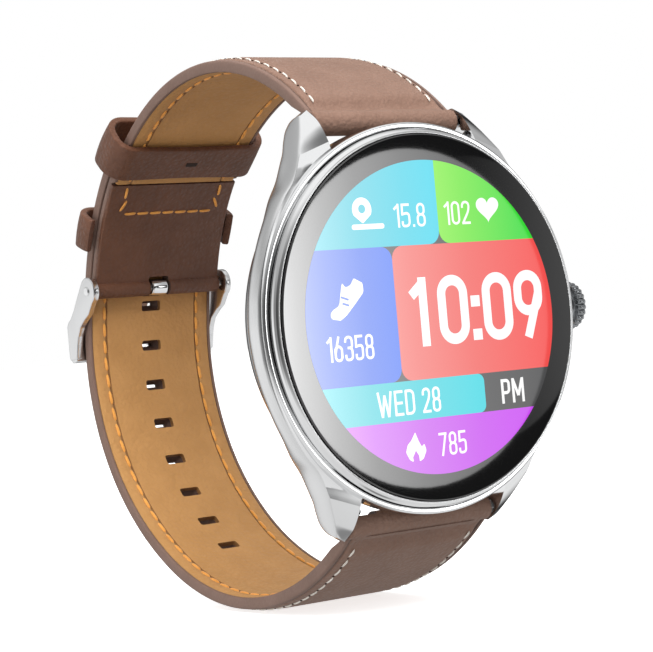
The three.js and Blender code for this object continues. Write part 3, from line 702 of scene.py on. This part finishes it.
def text_parts(text, sides, weight, gap=0.21):
    """Letters in a row that fill a box (x0, x1, z0, z1); each stroke lies a little in front of the last."""
    x, x1, z0, z1 = sides
    widths = [LETTER_WIDTH.get(c, 1.0) for c in text]
    unit = (x1 - x) / (sum(widths) + gap * (len(text) - 1))
    parts = []
    for c, w in zip(text, widths):
        for path, closed in glyph(c, w * unit, z1 - z0, weight):
            parts.append(stroke(np.asarray(path) + (x, z0), weight, closed, INK_NEAR - 0.0006 * len(parts)))
        x += (w + gap) * unit
    return parts


def build_pin():
    """A map pin, a drop with a round eye, over a bar."""
    drop = np.vstack([arc((-9.05, 12.72), 1.37, -28, 208, 28), [(-9.05, 11.12)]])
    eye = arc((-9.05, 12.78), 0.5, 0, 360, 24)[:-1]
    evenly = []
    for outline in (drop, eye):
        closed = np.vstack([outline, outline[:1]])
        run = run_along(closed)
        at = np.linspace(0, run[-1], 48, endpoint=False)
        evenly.append(np.column_stack([np.interp(at, run, closed[:, 0]), np.interp(at, run, closed[:, 1])]))
    outside, hole = evenly
    nearest = np.argmin(np.linalg.norm(hole - outside[0], axis=1))
    dial_piece("pin_icon", prism(rounded(corners(-10.66, -6.04, 10.45, 11.05), 0.28)), WHITE)
    dial_piece("pin_drop", band(outside, np.roll(hole, -nearest, axis=0), True), WHITE)


def build_dial():
    dial_piece("backing", prism(CIRCLE, -0.005, 0.01), lit("glow_backing", (0.035, 0.035, 0.037)))
    for name, sides, radii, left, right, span in TILES:
        shape = prism(clip_round(rounded(corners(*sides), radii, 6)), -0.010, 0.01)
        dial_piece(name + "_tile", shape, lit(f"glow_{name}_tile", left, right, span))
    for name, rows in READINGS.items():
        dial_piece(name, merge([p for row in rows for p in text_parts(*row)]), WHITE)
    build_pin()
    t = around(64)
    heart_z = (13 * np.cos(t) - 5 * np.cos(2 * t) - 2 * np.cos(3 * t) - np.cos(4 * t)) / 16
    heart = np.column_stack([9.45 + 1.72 * np.sin(t) ** 3, 12.25 + 1.62 * heart_z])
    dial_piece("heart_icon", prism(heart), WHITE)
    dial_piece("shoe_icon", prism(rounded(SHOE)), WHITE)
    laces = [[(-13.05, 3.0), (-12.0, 2.65)], [(-12.9, 2.28), (-12.0, 2.0)]]
    lace = lit("glow_lace", (0.01, 0.11, 0.66))
    dial_piece("shoe_laces", merge([stroke(path, 0.24, near=-0.024) for path in laces]), lace)
    dial_piece("flame_icon", prism(rounded(FLAME, steps=4)), WHITE)


# ---- crown
def build_crown():
    low, high = box("crown_knob")
    _, d, z = middle("crown_knob")
    x0, x1, top, teeth = low[0], high[0], (high[2] - low[2]) / 2, 24
    profile = [                              # radius, x, share of the knurl
        (0.9, x0, 0), (1.85, x0, 0), (1.95, x0 + 0.06, 0), (2.1, x0 + 0.4, 0), (2.45, x0 + 0.58, 0),
        (top - 0.22, x0 + 0.62, 0.5), (top - 0.05, x0 + 0.72, 0.9), (top, x0 + 0.84, 1), (top, x1 - 0.34, 1),
        (top - 0.06, x1 - 0.18, 0.9), (top - 0.25, x1 - 0.06, 0.45), (top - 0.5, x1 - 0.02, 0),
        (top - 0.62, x1 - 0.1, 0), (top - 0.74, x1 - 0.03, 0), (1.6, x1 - 0.005, 0), (0.8, x1, 0),
        (AXIS, x1, 0), (AXIS, x0, 0)]
    rings = []
    for a in around(teeth * 14):
        sink = 0.30 * (1 - abs(math.sin(teeth * a / 2)) ** 0.75)
        c, s = math.cos(a), math.sin(a)
        rings.append([(x, d + (r - sink * k) * c, z + (r - sink * k) * s) for r, x, k in profile])
    piece("crown_knurled", skin(rings, closed=True), STEEL_DARK, 38, "crown_knob",
          "crown_button")


# ---- strap
LOOP_CENTRE = np.array([28.6, 0.4])
BAR_ANGLE, TIP_ANGLE = 13.0, 47.0
TURN_BACK_ANGLE = 40.3
WIDE, NARROW, TAPER = 10.45, 9.75, 45.0
TOP, LINING_TOP = 1.5, 0.66                  # levels of the outer face and of the lining's back
STITCH_IN, LINING_IN, CREASE_IN = 1.75, 2.35, 0.76       # distances from the strap's edge
MARKS = [0.45, 0.56, 0.66, 0.76, 0.88, 1.05, 1.3, 1.5, 1.62, 1.75, 1.88, 2.0, 2.2, 2.6, 3.2, 4.2, 6.0, 7.8]
LIP = 0.45                                   # width of the leather's edge round the lining
LINING_SHORT = 3.9                           # the lining stops this far before the lug end
HOLE_WIDTH = 2.95
# slots across half the strap: 1 edge paint with painted shade, 2 painted shadow in the pressed crease, 0 the
# taupe face
HALF_SLOTS = [1] * 6 + [2] * 3 + [0] * (len(MARKS) - 4)
LEATHER_SLOTS = HALF_SLOTS + [0] + HALF_SLOTS[::-1] + [1] * 17
# faces 6, 7, 13 and 14 lie in the stitch grooves and take the painted groove shade
LINING_SLOTS = [int(k in (6, 7, 13, 14)) for k in range(24)]


def direction(angle):
    """The unit vector at an angle in degrees, in (d, z)."""
    return np.array([math.cos(math.radians(angle)), math.sin(math.radians(angle))])


class Route:
    """A chain of arcs (radius, end angle) seen from the crown's side, measured along its inner face."""

    def __init__(self, start, arcs):
        self.parts, centre, angle, self.length, before = [], LOOP_CENTRE, start, 0.0, arcs[0][0]
        for radius, end in arcs:
            centre = centre + (before - radius) * direction(angle)
            span = abs(math.radians(end - angle)) * radius
            self.parts.append((centre, radius, angle, end, self.length, span))
            angle, before = end, radius
            self.length += span

    def at(self, distance):
        """Point on the inner face and outward direction, both in (d, z)."""
        part = next((p for p in self.parts if distance <= p[4] + p[5]), self.parts[-1])
        centre, radius, start, end, run, span = part
        n = direction(start + (end - start) * (distance - run) / span)
        return centre + radius * n, n

    def distance(self, angle):
        """How far along the route a given angle lies, in its first arc."""
        _, radius, start, *_ = self.parts[0]
        return abs(math.radians(angle - start)) * radius

    def half_width(self, distance):
        return WIDE + (NARROW - WIDE) * min(1, max(0, (self.length - distance) / TAPER))

    def sweep(self, start, end, section):
        """Carries section(distance) -> rows of (x, outward offset) along the route."""
        rings = []
        for distance in np.linspace(start, end, max(2, round((end - start) / 0.5)) + 1):
            point, normal = self.at(distance)
            rings.append([(x, *(point + normal * o)) for x, o in section(distance)])
        return rings


BUCKLE_ROUTE = Route(BAR_ANGLE, [(32.0, 70.0), (30.6, 135.6)])
LONG_ROUTE = Route(TIP_ANGLE, [(33.8, 12.0), (89.6, 8.8), (28.7, -40.1), (33.9, -133.2)])


def flipped(rows):
    """Rows of the +x side as the -x side has them, in reverse."""
    return [(-x, o) for x, o in rows[::-1]]


def there_and_back(rows):
    """Rows, then the same in reverse with the second number's sign changed."""
    return rows + [(a, -b) for a, b in rows[::-1]]


def leather_section(w, crown, lip):
    """The outline of the leather: edge, pressed crease, stitch line, soft crown, then the inside."""
    right = arc((w - 0.3, TOP - 0.3), 0.3, 0, 90, 4).tolist()
    for d in MARKS:
        rise = crown * min(1, max(0, (d - CREASE_IN) / 2.4)) ** 0.6
        dip = 0.17 * math.exp(-((d - CREASE_IN) / 0.11) ** 2)
        groove = 0.06 * math.exp(-((d - STITCH_IN) / 0.2) ** 2)
        right.append((w - d, TOP + rise - dip - groove))
    side = [(w, TOP - 0.5), (w, lip + 0.16), (w - 0.05, lip + 0.05), (w - 0.14, lip), (w - LIP + 0.04, lip),
            (w - LIP, lip + 0.02)]
    under = [(0.0, 0.7), (w - 2.5, 0.7), (w - LIP - 0.01, 0.7)]
    inside = under + side[::-1]
    return right + [(0.0, TOP + crown)] + flipped(right) + flipped(inside) + inside[1:]


def lining_section(w):
    """Tan lining with a shallow stitch groove on the wrist side."""
    line = LINING_IN - LIP - 0.04
    marks = [(0.0, 0.25), (0.05, 0.08), (0.2, 0.0), (1.2, 0.0), (line - 0.22, 0.0), (line - 0.08, 0.05),
             (line + 0.14, 0.08), (line + 0.26, 0.14), (line + 0.42, 0.0), (4.0, 0.0), (7.0, 0.0)]
    half = [(w - d, o) for d, o in marks]
    return half + flipped(half) + [(-w, LINING_TOP), (w, LINING_TOP)]


def padding(route, distance):
    """The leather is fuller near the lug and flat towards the buckle."""
    left = route.length - distance
    full = 0.36 * math.exp(-(max(0, left - 6) / 26) ** 2) + 0.10
    return full * (1 - 1.9 * math.exp(-((left - 1.7) / 0.9) ** 2))


def hole_tool(route, distance, width, length, low, high, pinch=1.0):
    """A punched hole, pinched towards the outer face where soft leather closes up."""
    outline = rounded(corners(-width / 2, width / 2, -length / 2, length / 2), 0.32, 4)
    point, normal = route.at(distance)
    along = np.array([normal[1], -normal[0]])
    rings = []
    for level in (low, high) if pinch == 1 else (low, 0.7, 1.25, high):
        close = pinch if level > 1 else 1
        middle_line = point + normal * level
        rings.append([(x * (1 + 2 * close) / 3, *(middle_line + along * v * close)) for x, v in outline])
    return skin(rings)


def roll(centre, radius, half):
    """A rolled leather end round a bar along x, with rounded edges."""
    edge = arc((radius - 0.3, 0.3 - half), 0.3, -90, 0, 4).tolist()
    return turned(there_and_back([(AXIS, -half)] + edge), "x", 64, centre)


def add_turn_back(hide, back_end):
    """The buckle end: leather rolled round the bar and turned back on the wrist side."""
    def section(distance):
        w = BUCKLE_ROUTE.half_width(distance) - 0.02
        return rounded([(w, 0.0, 0.22), (w, LINING_TOP, 0.04), (-w, LINING_TOP, 0.04), (-w, 0.0, 0.22)],
                       steps=4)
    join(hide, skin(BUCKLE_ROUTE.sweep(0.9, back_end, section)), 3)
    join(hide, roll(axle("buckle_bar"), 1.1, NARROW), 3)
    # the bar's hole and the tongue's slot are walled in painted shadow brown
    cut(hide, roll(axle("buckle_bar"), 0.6, 12), 2)
    cut(hide, hole_tool(BUCKLE_ROUTE, 0.0, 3.2, 3.1, -3, 4), 2)


def build_strap(route, half, end, start, back_end=None, holes=()):
    """One strap half: outer leather round its spring bar, and the cuts through it."""
    bar = axle(end + "_spring_bar")
    def section(distance):
        past_lining = (distance - route.length + LINING_SHORT) / 2.6
        lip = 0.62 if back_end and distance < back_end + 0.2 else 0.03 + 0.59 * min(1, max(0, past_lining))
        return leather_section(route.half_width(distance), padding(route, distance), lip)
    rings = route.sweep(start, route.length, section)
    hide = solid(half, skin(rings, slots=LEATHER_SLOTS), [LEATHER, EDGE, CREASE_AND_HOLE_SHADE, BROWN])
    join(hide, roll(bar, 1.45, WIDE), 0)
    if back_end:
        add_turn_back(hide, back_end)
    cut(hide, roll(bar, 0.92, 12), 1)
    low, high = box(end + "_release_lever")
    near, far = (1.0, 0.2) if low[0] + high[0] > 0 else (0.2, 1.0)
    up = math.copysign(1, bar[2])
    _, d, z = bar
    # the notch for the lever and the punched holes are walled in painted shadow brown
    cut(hide, block(low[0] - near, high[0] + far, d - 0.8, d + 2.4, z - up * 3.2, z - up * 0.2), 2)
    for distance, length, pinch in holes:
        cut(hide, hole_tool(route, distance, HOLE_WIDTH, length, -2, 4, pinch), 2)
    tidy(hide)
    finish(hide, half + "_hide", 32, half + "_leather")


def build_lining(route, half, start, holes=()):
    section = lambda d: lining_section(route.half_width(d) - LIP - 0.04)
    rings = route.sweep(start, route.length - LINING_SHORT, section)
    lining = solid(half, skin(rings, slots=LINING_SLOTS), [LINING, LINING_GROOVE_SHADE])
    # the hole walls take the painted groove shade
    for distance, length, _ in holes:
        cut(lining, hole_tool(route, distance, HOLE_WIDTH, length, -2, 4), 1)
    tidy(lining)
    finish(lining, half + "_inside", 40, half + "_lining")


def build_straps():
    holes = [(LONG_ROUTE.distance(8.2) + i * 5.49, 1.4, 0.3) for i in range(-1, 8)]
    holes.append((LONG_ROUTE.distance(11.8), 1.51, 1.0))     # the tongue's slot, behind the fold
    back_end = BUCKLE_ROUTE.distance(TURN_BACK_ANGLE)
    build_strap(BUCKLE_ROUTE, "buckle_strap", "upper", 0.9, back_end)
    build_strap(LONG_ROUTE, "long_strap", "lower", 0.0, holes=holes)
    build_lining(BUCKLE_ROUTE, "buckle_strap", back_end + 0.25)
    build_lining(LONG_ROUTE, "long_strap", 0.0, holes)


def stitch(route, place, offset, radius, length, lean=0.0):
    """A rounded stitch at (distance, x, direction in the strap's plane) on a face of the strap."""
    distance, x, turn = place
    point, normal = route.at(distance)
    ahead = np.array([math.sin(turn), math.cos(turn) * normal[1], -math.cos(turn) * normal[0]])
    up = np.array([0.0, *normal])
    side = np.cross(ahead, up)
    base = np.array([x, *(point + normal * offset)])
    rings = []
    for t in np.linspace(-1, 1, 7):
        r = radius * math.sqrt(max(0.02, 1 - t ** 4))
        lift = -0.14 * t ** 4 * math.copysign(1, offset - 0.3)
        spine = base + ahead * (t * length / 2) + up * lift + side * lean * t
        rings.append([spine + r * (math.cos(a) * side + 0.8 * math.sin(a) * up) for a in around(8)])
    return skin(rings)


def side_places(route, start, end, inset_by, pitch):
    count = max(1, round((end - start) / pitch))
    at = [start + (i + 0.5) * (end - start) / count for i in range(count)]
    return [(d, s * (route.half_width(d) - inset_by), 0.0) for s in (1, -1) for d in at]


def path_places(path, pitch):
    """Stitch places evenly along a polyline of (distance, x) points."""
    p = np.array(path, float)
    run = run_along(p)
    count = round(run[-1] / pitch)
    places = []
    for i in range(count):
        at = (i + 0.5) * run[-1] / count
        k = min(int(np.searchsorted(run, at)) - 1, len(p) - 2)
        step = p[k + 1] - p[k]
        places.append((*(p[k] + step * (at - run[k]) / (run[k + 1] - run[k])), math.atan2(step[1], step[0])))
    return places


def build_threads():
    b, l, pitch = BUCKLE_ROUTE, LONG_ROUTE, 1.9
    threads, pits = [], []
    for route, start in ((b, b.distance(36.0)), (l, 3.0)):
        for place in side_places(route, start, route.length - 2.1, STITCH_IN, pitch):
            level = TOP + padding(route, place[0]) * 0.70
            threads.append(stitch(route, place, level, 0.14, 1.5, 0.08))
            # a near-black pit between stitches paints the shade of each needle hole
            pits.append(stitch(route, (place[0] - pitch / 2, place[1], 0.0), level - 0.09, 0.13, 0.36))
    piece("outer_cream_stitching", merge(threads), CREAM, 60)
    piece("outer_needle_hole_shade", merge(pits), HOLE_SHADE, 60)
    half = [(b.distance(TURN_BACK_ANGLE - 0.3), 7.4), (b.distance(34.9), 7.4), (b.distance(33.1), 6.9),
            (b.distance(32.5), 6.0)]
    threads = [stitch(b, place, -0.06, 0.2, 1.95, 0.05) for place in path_places(there_and_back(half), 2.0)]
    for route, start in ((b, b.distance(TURN_BACK_ANGLE) + 0.4), (l, 1.5)):
        threads += [stitch(route, place, 0.0, 0.23, 2.1, 0.06)
                    for place in side_places(route, start, route.length - 4.2, LINING_IN, 2.33)]
    piece("inner_orange_stitching", merge(threads), ORANGE, 60)


# ---- keepers
def keeper(node, body, angle, radius, half_height, corner, length, swell, opening=None):
    """A leather loop: a rounded strip carried round a rounded rectangle, bent about the strap's loop."""
    half, wall = 10.7, 0.9
    path = rounded(corners(-half, half, -half_height, half_height), corner, 10)
    line = []
    for p, q in zip(path, np.roll(path, -1, 0)):
        steps = max(1, int(np.linalg.norm(q - p) / 0.8))
        line += [p + (q - p) * k / steps for k in range(steps)]
    line = np.array(line)
    normals = line - inset(line, 1.0)
    strip = rounded(corners(0, wall, -length / 2, length / 2), 0.22, 4)
    strip = np.vstack([np.linspace(p, q, 6)[:-1] if np.linalg.norm(q - p) > 1 else [p]
                       for p, q in zip(strip, np.roll(strip, -1, 0))])
    rings = []
    for (x, h), n in zip(line, normals):
        waist = 1 - 0.035 * math.cos(math.pi * min(1, abs(x) / half))
        row = []
        for o, v in strip:
            out = o + swell * (1 - (2 * v / length) ** 2) * o / wall
            turn = direction(angle + math.degrees(v * waist / radius))
            row.append((x + n[0] * out, *(LOOP_CENTRE + (radius + h + n[1] * out) * turn)))
        rings.append(row)
    if opening is not None:
        keep = [i for i, (x, h) in enumerate(line) if h > opening]
        start = next(i for i in keep if (i - 1) % len(line) not in keep)
        rings = [rings[(start + k) % len(line)] for k in range(len(keep))]
    piece(node + "_loop", skin(rings, closed=opening is None), BROWN, 50, node, body)


def build_keepers():
    keeper("free_keeper", "keeper", 48.2, 34.0, 2.3, 1.8, 5.6, 0.12)
    keeper("fixed_keeper", "root", 26.5, 34.15, 2.05, 1.6, 4.5, 0.1, -1.25)
    # the small slit where the loop's ends meet, pressed into its wrist side; a near-black piece paints the
    # shade inside it
    outline = rounded(corners(-0.85, 0.85, -0.3, 0.3), 0.15, 3)
    rings = [[(0.25 + u, *(LOOP_CENTRE + level * direction(48.2 + math.degrees(v / 31)))) for u,
              v in outline]
             for level in (30.63, 31.2)]
    piece("keeper_slit_shade", skin(rings), HOLE_SHADE, 35, body="keeper")


# ---- buckle
BUCKLE_FOOT = [(0.2, -3.1, 0), (1.4, -3.75, 0.5), (2.7, -4.7, 0.8), (3.4, -5.9, 0.6), (3.75, -7.0, 0.4),
               (4.2, -8.9, 0.25), (6.15, -9.1, 0.35), (6.25, -8.2, 0.3), (6.25, -4.4, 0.3),
               (5.9, -3.9, 0.35),
               (5.2, -3.45, 0.4), (4.2, -2.4, 0.8), (3.1, -0.9, 0)]
CROSSBAR = [(4.4, -9.35, 0.5), (5.7, -9.45, 0.5), (6.32, -8.7, 0.35), (6.32, -4.6, 0.35), (5.75, -4.1, 0.2),
            (4.4, -5.0, 0.2)]
TONGUE_LINE = [(0.75, -0.15), (1.4, -0.25), (2.2, -0.35), (3.1, -0.55), (3.9, -1.05), (4.6, -1.8),
               (5.2, -2.7), (5.6, -3.6), (5.75, -4.6), (5.75, -8.4)]


def build_buckle():
    _, d, z = middle("buckle_bar")
    outer, half = box("buckle_frame")[1][0], box("buckle_tongue")[1][0]
    lobe = arc((d, z), 1.9, 35, 240, 26)
    outline = np.vstack([lobe, rounded(BUCKLE_FOOT, steps=4) + (d, z)])
    cheek = plate(outline, outer - 0.9, outer, 0.16)
    buckle = solid("buckle", cheek, [SATIN_ROUND, STEEL])
    join(buckle, mirrored(cheek, -1))
    join(buckle, plate(rounded(CROSSBAR) + (d, z), 0.12 - outer, outer - 0.12, 0.1))
    cut(buckle, block(-half - 0.3, half + 0.3, d + 5.1, d + 7.5, z - 12, z - 2.8), 1)
    tidy(buckle)
    finish(buckle, "buckle_frame_shell", 30, "buckle_frame", "buckle")
    end = turned([(AXIS, 0.0), (0.62, 0.0), (0.62, 0.1), (0.5, 0.2), (AXIS, 0.22)], "x", 32,
                 (outer - 0.02, d, z))
    piece("buckle_bar_ends", merge([mirrored(end, side) for side in (1, -1)]), STEEL, 35)


def build_tongue():
    """The tongue: a curl round the bar, then a rounded blade through the hole and over the crossbar."""
    _, d, z = middle("buckle_bar")
    half, thick = box("buckle_tongue")[1][0], 0.33
    line = np.array(TONGUE_LINE) + (d, z)
    run = run_along(line)
    at = np.linspace(0, run[-1], 60)
    centre = np.column_stack([smooth_curve(list(zip(run, line[:, k])))(at) for k in (0, 1)])
    ahead = unit(np.gradient(centre, axis=0))
    rings = []
    for c, (ad, az), t in zip(centre, ahead, at / run[-1]):
        end = min(1.0, max(0.05, (1 - t) * run[-1] / 0.35)) ** 0.5
        w, h = half * (1 - 0.18 * t) * end, thick * end
        section = rounded(corners(-w, w, -h, h), 0.25 * end, 4)
        rings.append([(x, c[0] - az * o, c[1] + ad * o) for x, o in section])
    tongue = solid("tongue", skin(rings), [STEEL])
    curl = rounded(corners(0.58, 1.12, -half, half), [0.05, 0.18, 0.18, 0.05], 4)
    join(tongue, turned(curl, "x", 64, (0, d, z)))
    tidy(tongue)
    finish(tongue, "buckle_tongue_blade", 40, "buckle_tongue", "tongue")


# ---- back and inner parts
def build_back():
    profile = [(11.25, 8.9, 0.05), (20.2, 8.9, 0.1), (20.1, 9.1, 0.2), (19.0, 9.7, 0.5), (11.25, 9.7, 0.12)]
    cover = solid("cover", turned(rounded(profile, steps=4)), [BLACK])
    spots = [(f"back_screw_{i}", 1.0) for i in (1, 2, 3, 4)] + [(f"charge_contact_{i}", 1.25)
                                                                for i in (1, 2)]
    for node, r in spots:
        well = [(AXIS, 8), (r, 8), (r, 9.55), (r + 0.16, 9.72), (r + 0.16, 11), (AXIS, 11)]
        cut(cover, turned(well, "d", 40, middle(node) * (1, 0, 1)))
    tidy(cover)
    finish(cover, "back_cover_shell", 30, "back_cover")


def build_sensor():
    r, face, _ = box("sensor_window")[1]
    profile = [(AXIS, 8.95, 0), (r, 8.95, 0), (r, 9.62, 0.1), (r - 0.1, 9.78, 0.2), (9.6, 10.45, 1.2),
               (8.3, 10.78, 1.2), (7.0, face, 0.8), (AXIS, face, 0)]
    piece("sensor_lens", turned(rounded(profile), segments=160), SENSOR, 30, "sensor_window")
    places = [3.6 * direction(45 + 90 * k) for k in range(4)]
    dots = [rod(0.85, face - 0.2, face + 0.01, "d", 32, (x, 0, z)) for x, z in places]
    piece("sensor_diodes", merge(dots), lit("glow_sensor", (0.01, 0.06, 0.02)), 30)
    ring = turned(corners(1.35, 1.9, face - 0.2, face + 0.008), "d", 64)
    piece("sensor_ring", ring, SATIN, 30)


def tube(points, radii):
    """A round bar through points, with a radius at each."""
    pts = np.array(points, float)
    rings = []
    for i, (p, radius) in enumerate(zip(pts, radii)):
        ahead = unit(pts[min(i + 1, len(pts) - 1)] - pts[max(i - 1, 0)])
        u = unit(np.cross(ahead, (0, 1, 0.01)))
        v = np.cross(ahead, u)
        rings.append([p + radius * (math.cos(a) * u + math.sin(a) * v) for a in around(20)])
    return skin(rings)


def build_levers():
    """The quick-release knobs, as polished balls on their pins."""
    for end in ("upper", "lower"):
        _, d, z = middle(end + "_spring_bar")
        up = math.copysign(1, z)
        x = 8.4 * up
        stem = [(x, d + 0.05, z), (x, d + 0.1, z - 0.5 * up), (x, d + 0.45, z - 1.15 * up)]
        turns = np.linspace(0.02, math.pi - 0.02, 15)
        ball = [(x, d + 0.5 - 0.165 * math.cos(t), z + (0.5225 * math.cos(t) - 1.6) * up) for t in turns]
        pin = [(up * v, d, z) for v in (7.45, 7.5, 11.5, 11.68, 11.7)]
        knob = solid("knob", tube(stem, (0.3, 0.3, 0.28)), [STEEL_DARK])
        join(knob, tube(ball, 0.55 * np.sin(turns)))
        join(knob, tube(pin, (0.3, 0.4, 0.4, 0.3, 0.2)))
        tidy(knob)
        finish(knob, end + "_lever_knob", 40, end + "_release_lever", end + "_release")


def paint_inner():
    finishes = (
        (RUBBER, "glass_gasket back_gasket crown_seal"), (COPPER, "display_flex"), (FOIL, "battery"),
        (BLACK, "display_panel inner_frame memory_chip speaker crown_switch"),
        (BOARD, "main_board sensor_board"),
        (SATIN, "processor_shield vibration_motor back_screw_1 back_screw_2 back_screw_3 back_screw_4"),
        (GOLD, "microphone charge_contact_1 charge_contact_2"), (STEEL_DARK, "crown_encoder_ring"),
        (STEEL, "crown_stem crown_tube crown_clip upper_bar_spring lower_bar_spring"),
        (SATIN_ROUND, "upper_spring_bar lower_spring_bar buckle_bar"))
    for material, nodes in finishes:
        for node in nodes.split():
            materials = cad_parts[node].data.materials
            materials.clear()
            materials.append(material)


# ---- studio
STUDIO_HEIGHTS = [(0.0, 0.72), (0.30, 0.90), (0.50, 0.95), (0.62, 0.74), (0.75, 0.46), (0.86, 0.55),
                  (0.95, 1.0)]
STUDIO_ZONES = [                             # direction, angles where full and where gone, level
    ((0.586, -0.81, 0.0), 15, 21, 0.06), ((-0.586, -0.81, 0.05), 14, 48, 0.16),
    ((0.586, 0.81, 0.0), 24, 52, 0.04),
    ((0.15, -0.54, 0.83), 3, 19, 0.22), ((0.25, -0.81, -0.53), 1.5, 5, 0.2),
    ((0.16, 0.10, -0.98), 3, 13, 0.35),
    ((-0.95, -0.27, 0.0), 8, 34, 0.3), ((0.22, -0.85, 0.48), 8, 22, 2.0)]
SOFTBOX = [(0.0, 0.95), (0.06, 0.80), (0.17, 0.60), (0.3, 0.42), (0.48, 0.29), (0.7, 0.19), (1.0, 0.13)]
FAINT_SOFTBOX = [(0.0, 0.0), (0.45, 0.004), (0.75, 0.035), (1.0, 0.065)]


def build_camera():
    camera = bpy.data.cameras.new("camera")
    camera.lens, camera.sensor_width, camera.clip_start = 121.3, 36, 0.01
    obj = added("camera", camera)
    forward = Vector((0.58576, 0.81046, 0.00661)).normalized()
    right = forward.cross(Vector((0.06718, -0.05668, 0.99613))).normalized()
    turn = Matrix((right, right.cross(forward), -forward)).transposed()
    obj.matrix_world = Matrix.Translation((-0.15879, -0.23396, -0.00169)) @ turn.to_4x4()
    bpy.context.scene.camera = obj
    bpy.context.view_layer.update()


def zone(rig, where, aim, inner, outer, level):
    """A smooth change to another level within an angle of a direction."""
    near = rig.node("VectorMath", {0: where, 1: Vector(aim).normalized()}, "Value", operation="DOT_PRODUCT")
    sockets = {"Value": near, "From Min": direction(outer)[0], "From Max": direction(inner)[0],
               "To Min": 1.0,
               "To Max": level}
    return rig.node("MapRange", sockets, interpolation_type="SMOOTHSTEP")


def build_world():
    """White to the eye; to shiny parts, a studio with a bright top, mid walls and a dark gap in front."""
    world = bpy.data.worlds.new("studio")
    bpy.context.scene.world = world
    bpy.context.scene.view_settings.view_transform = "Standard"
    rig = Rig(world)
    where = rig.node("TexCoord", {}, "Generated")
    height = rig.node("MapRange", {"Value": rig.node("SeparateXYZ", {0: where}, "Z"), "From Min": -1})
    level = rig.ramp(height, STUDIO_HEIGHTS)
    for spec in STUDIO_ZONES:
        level = rig.multiply(level, zone(rig, where, *spec))
    soft = rig.ramp(height, [(0.15, 0.50), (1.0, 0.80)])
    plain, shiny, seen = (rig.node("Background", {"Color": colour}) for colour in (soft, level, (1, 1, 1)))
    first = rig.node("MixShader", {0: rig.node("LightPath", {}, "Is Glossy Ray"), 1: plain, 2: shiny})
    second = rig.node("MixShader", {0: rig.node("LightPath", {}, "Is Camera Ray"), 1: first, 2: seen})
    rig.node("OutputWorld", {"Surface": second})


def area(name, place, size, power):
    """A soft light aimed at the watch."""
    light = bpy.data.lights.new(name, "AREA")
    light.shape = "RECTANGLE"
    light.size, light.size_y = size
    light.energy = power
    obj = added(name, light)
    obj.location = place
    obj.rotation_mode = "QUATERNION"
    obj.rotation_quaternion = (-Vector(place)).to_track_quat("-Z", "Y")
    obj.visible_glossy = False


def build_lights():
    area("key_above", (-0.10, -0.28, 0.42), (0.35, 0.35), 2.6)
    area("fill_left", (-0.48, -0.10, -0.10), (0.3, 0.4), 1.3)
    area("rim_behind", (0.15, 0.42, 0.25), (0.3, 0.3), 1.2)


def staged(name, points, material, hidden):
    """One flat face of the studio, in metres, that some kinds of ray don't meet."""
    mesh = bpy.data.meshes.new(name)
    mesh.from_pydata(points, [], [tuple(range(len(points)))])
    mesh.materials.append(material)
    obj = added(name, mesh)
    for ray in hidden:
        setattr(obj, "visible_" + ray, False)


def glow_disc(name, x, z, radius, distance, stops, strength):
    """A round light seen only in reflections, placed so that the glass mirrors it at (x, z) with that
    radius; its brightness runs along its own x."""
    material = bpy.data.materials.new(name + "_glow")
    rig = Rig(material)
    along = rig.node("SeparateXYZ", {0: rig.node("TexCoord", {}, "Generated")}, "X")
    glow = rig.node("Emission", {"Color": rig.ramp(along, stops), "Strength": strength})
    rig.node("OutputMaterial", {"Surface": glow})
    camera = bpy.context.scene.camera.location / MM
    reach = distance / (FRONT - camera.y)
    centre = ((1 + reach) * x - reach * camera.x, (1 + reach) * z - reach * camera.z)
    rim = arc(centre, radius * (1 + reach), 0, 360, 128)[:-1]
    points = [(a * MM, (FRONT - distance) * MM, b * MM) for a, b in rim]
    staged(name, points, material, ("diffuse", "camera", "shadow"))


def build_panels():
    glow_disc("round_softbox", -2.1, 0.0, 19.5, 400.0, SOFTBOX, 9.2)
    glow_disc("faint_softbox", 6.0, 1.5, 17.0, 408.0, FAINT_SOFTBOX, 10.0)


def build_floor():
    """A pale floor that melts into the white backdrop and keeps a faint contact shadow."""
    s = Shader("floor_white", Roughness=0.9, Emission_Color=(1, 1, 1))
    seen = s.node("LightPath", {}, "Is Camera Ray")
    s.set(Base_Color=s.ramp(s.noise(40, 2), [(0.3, (0.89, 0.89, 0.89)), (0.7, (0.91, 0.91, 0.91))]),
          Emission_Strength=s.node("MapRange", {"Value": seen, "To Min": 0.12, "To Max": 0.72}))
    reach, level = 40.0, cad_box[0].z - 0.0004
    points = [(x, y, level) for x, y in corners(-reach, reach, -reach, reach)]
    staged("floor", points, s.material, ("glossy", "diffuse"))


# ---- everything
for build in (build_camera, build_world, build_lights, build_floor, build_panels, build_case, build_bezel,
              build_glass, build_dial, build_crown, build_straps, build_threads, build_keepers, build_buckle,
              build_tongue, build_back, build_sensor, build_levers, paint_inner):
    build()
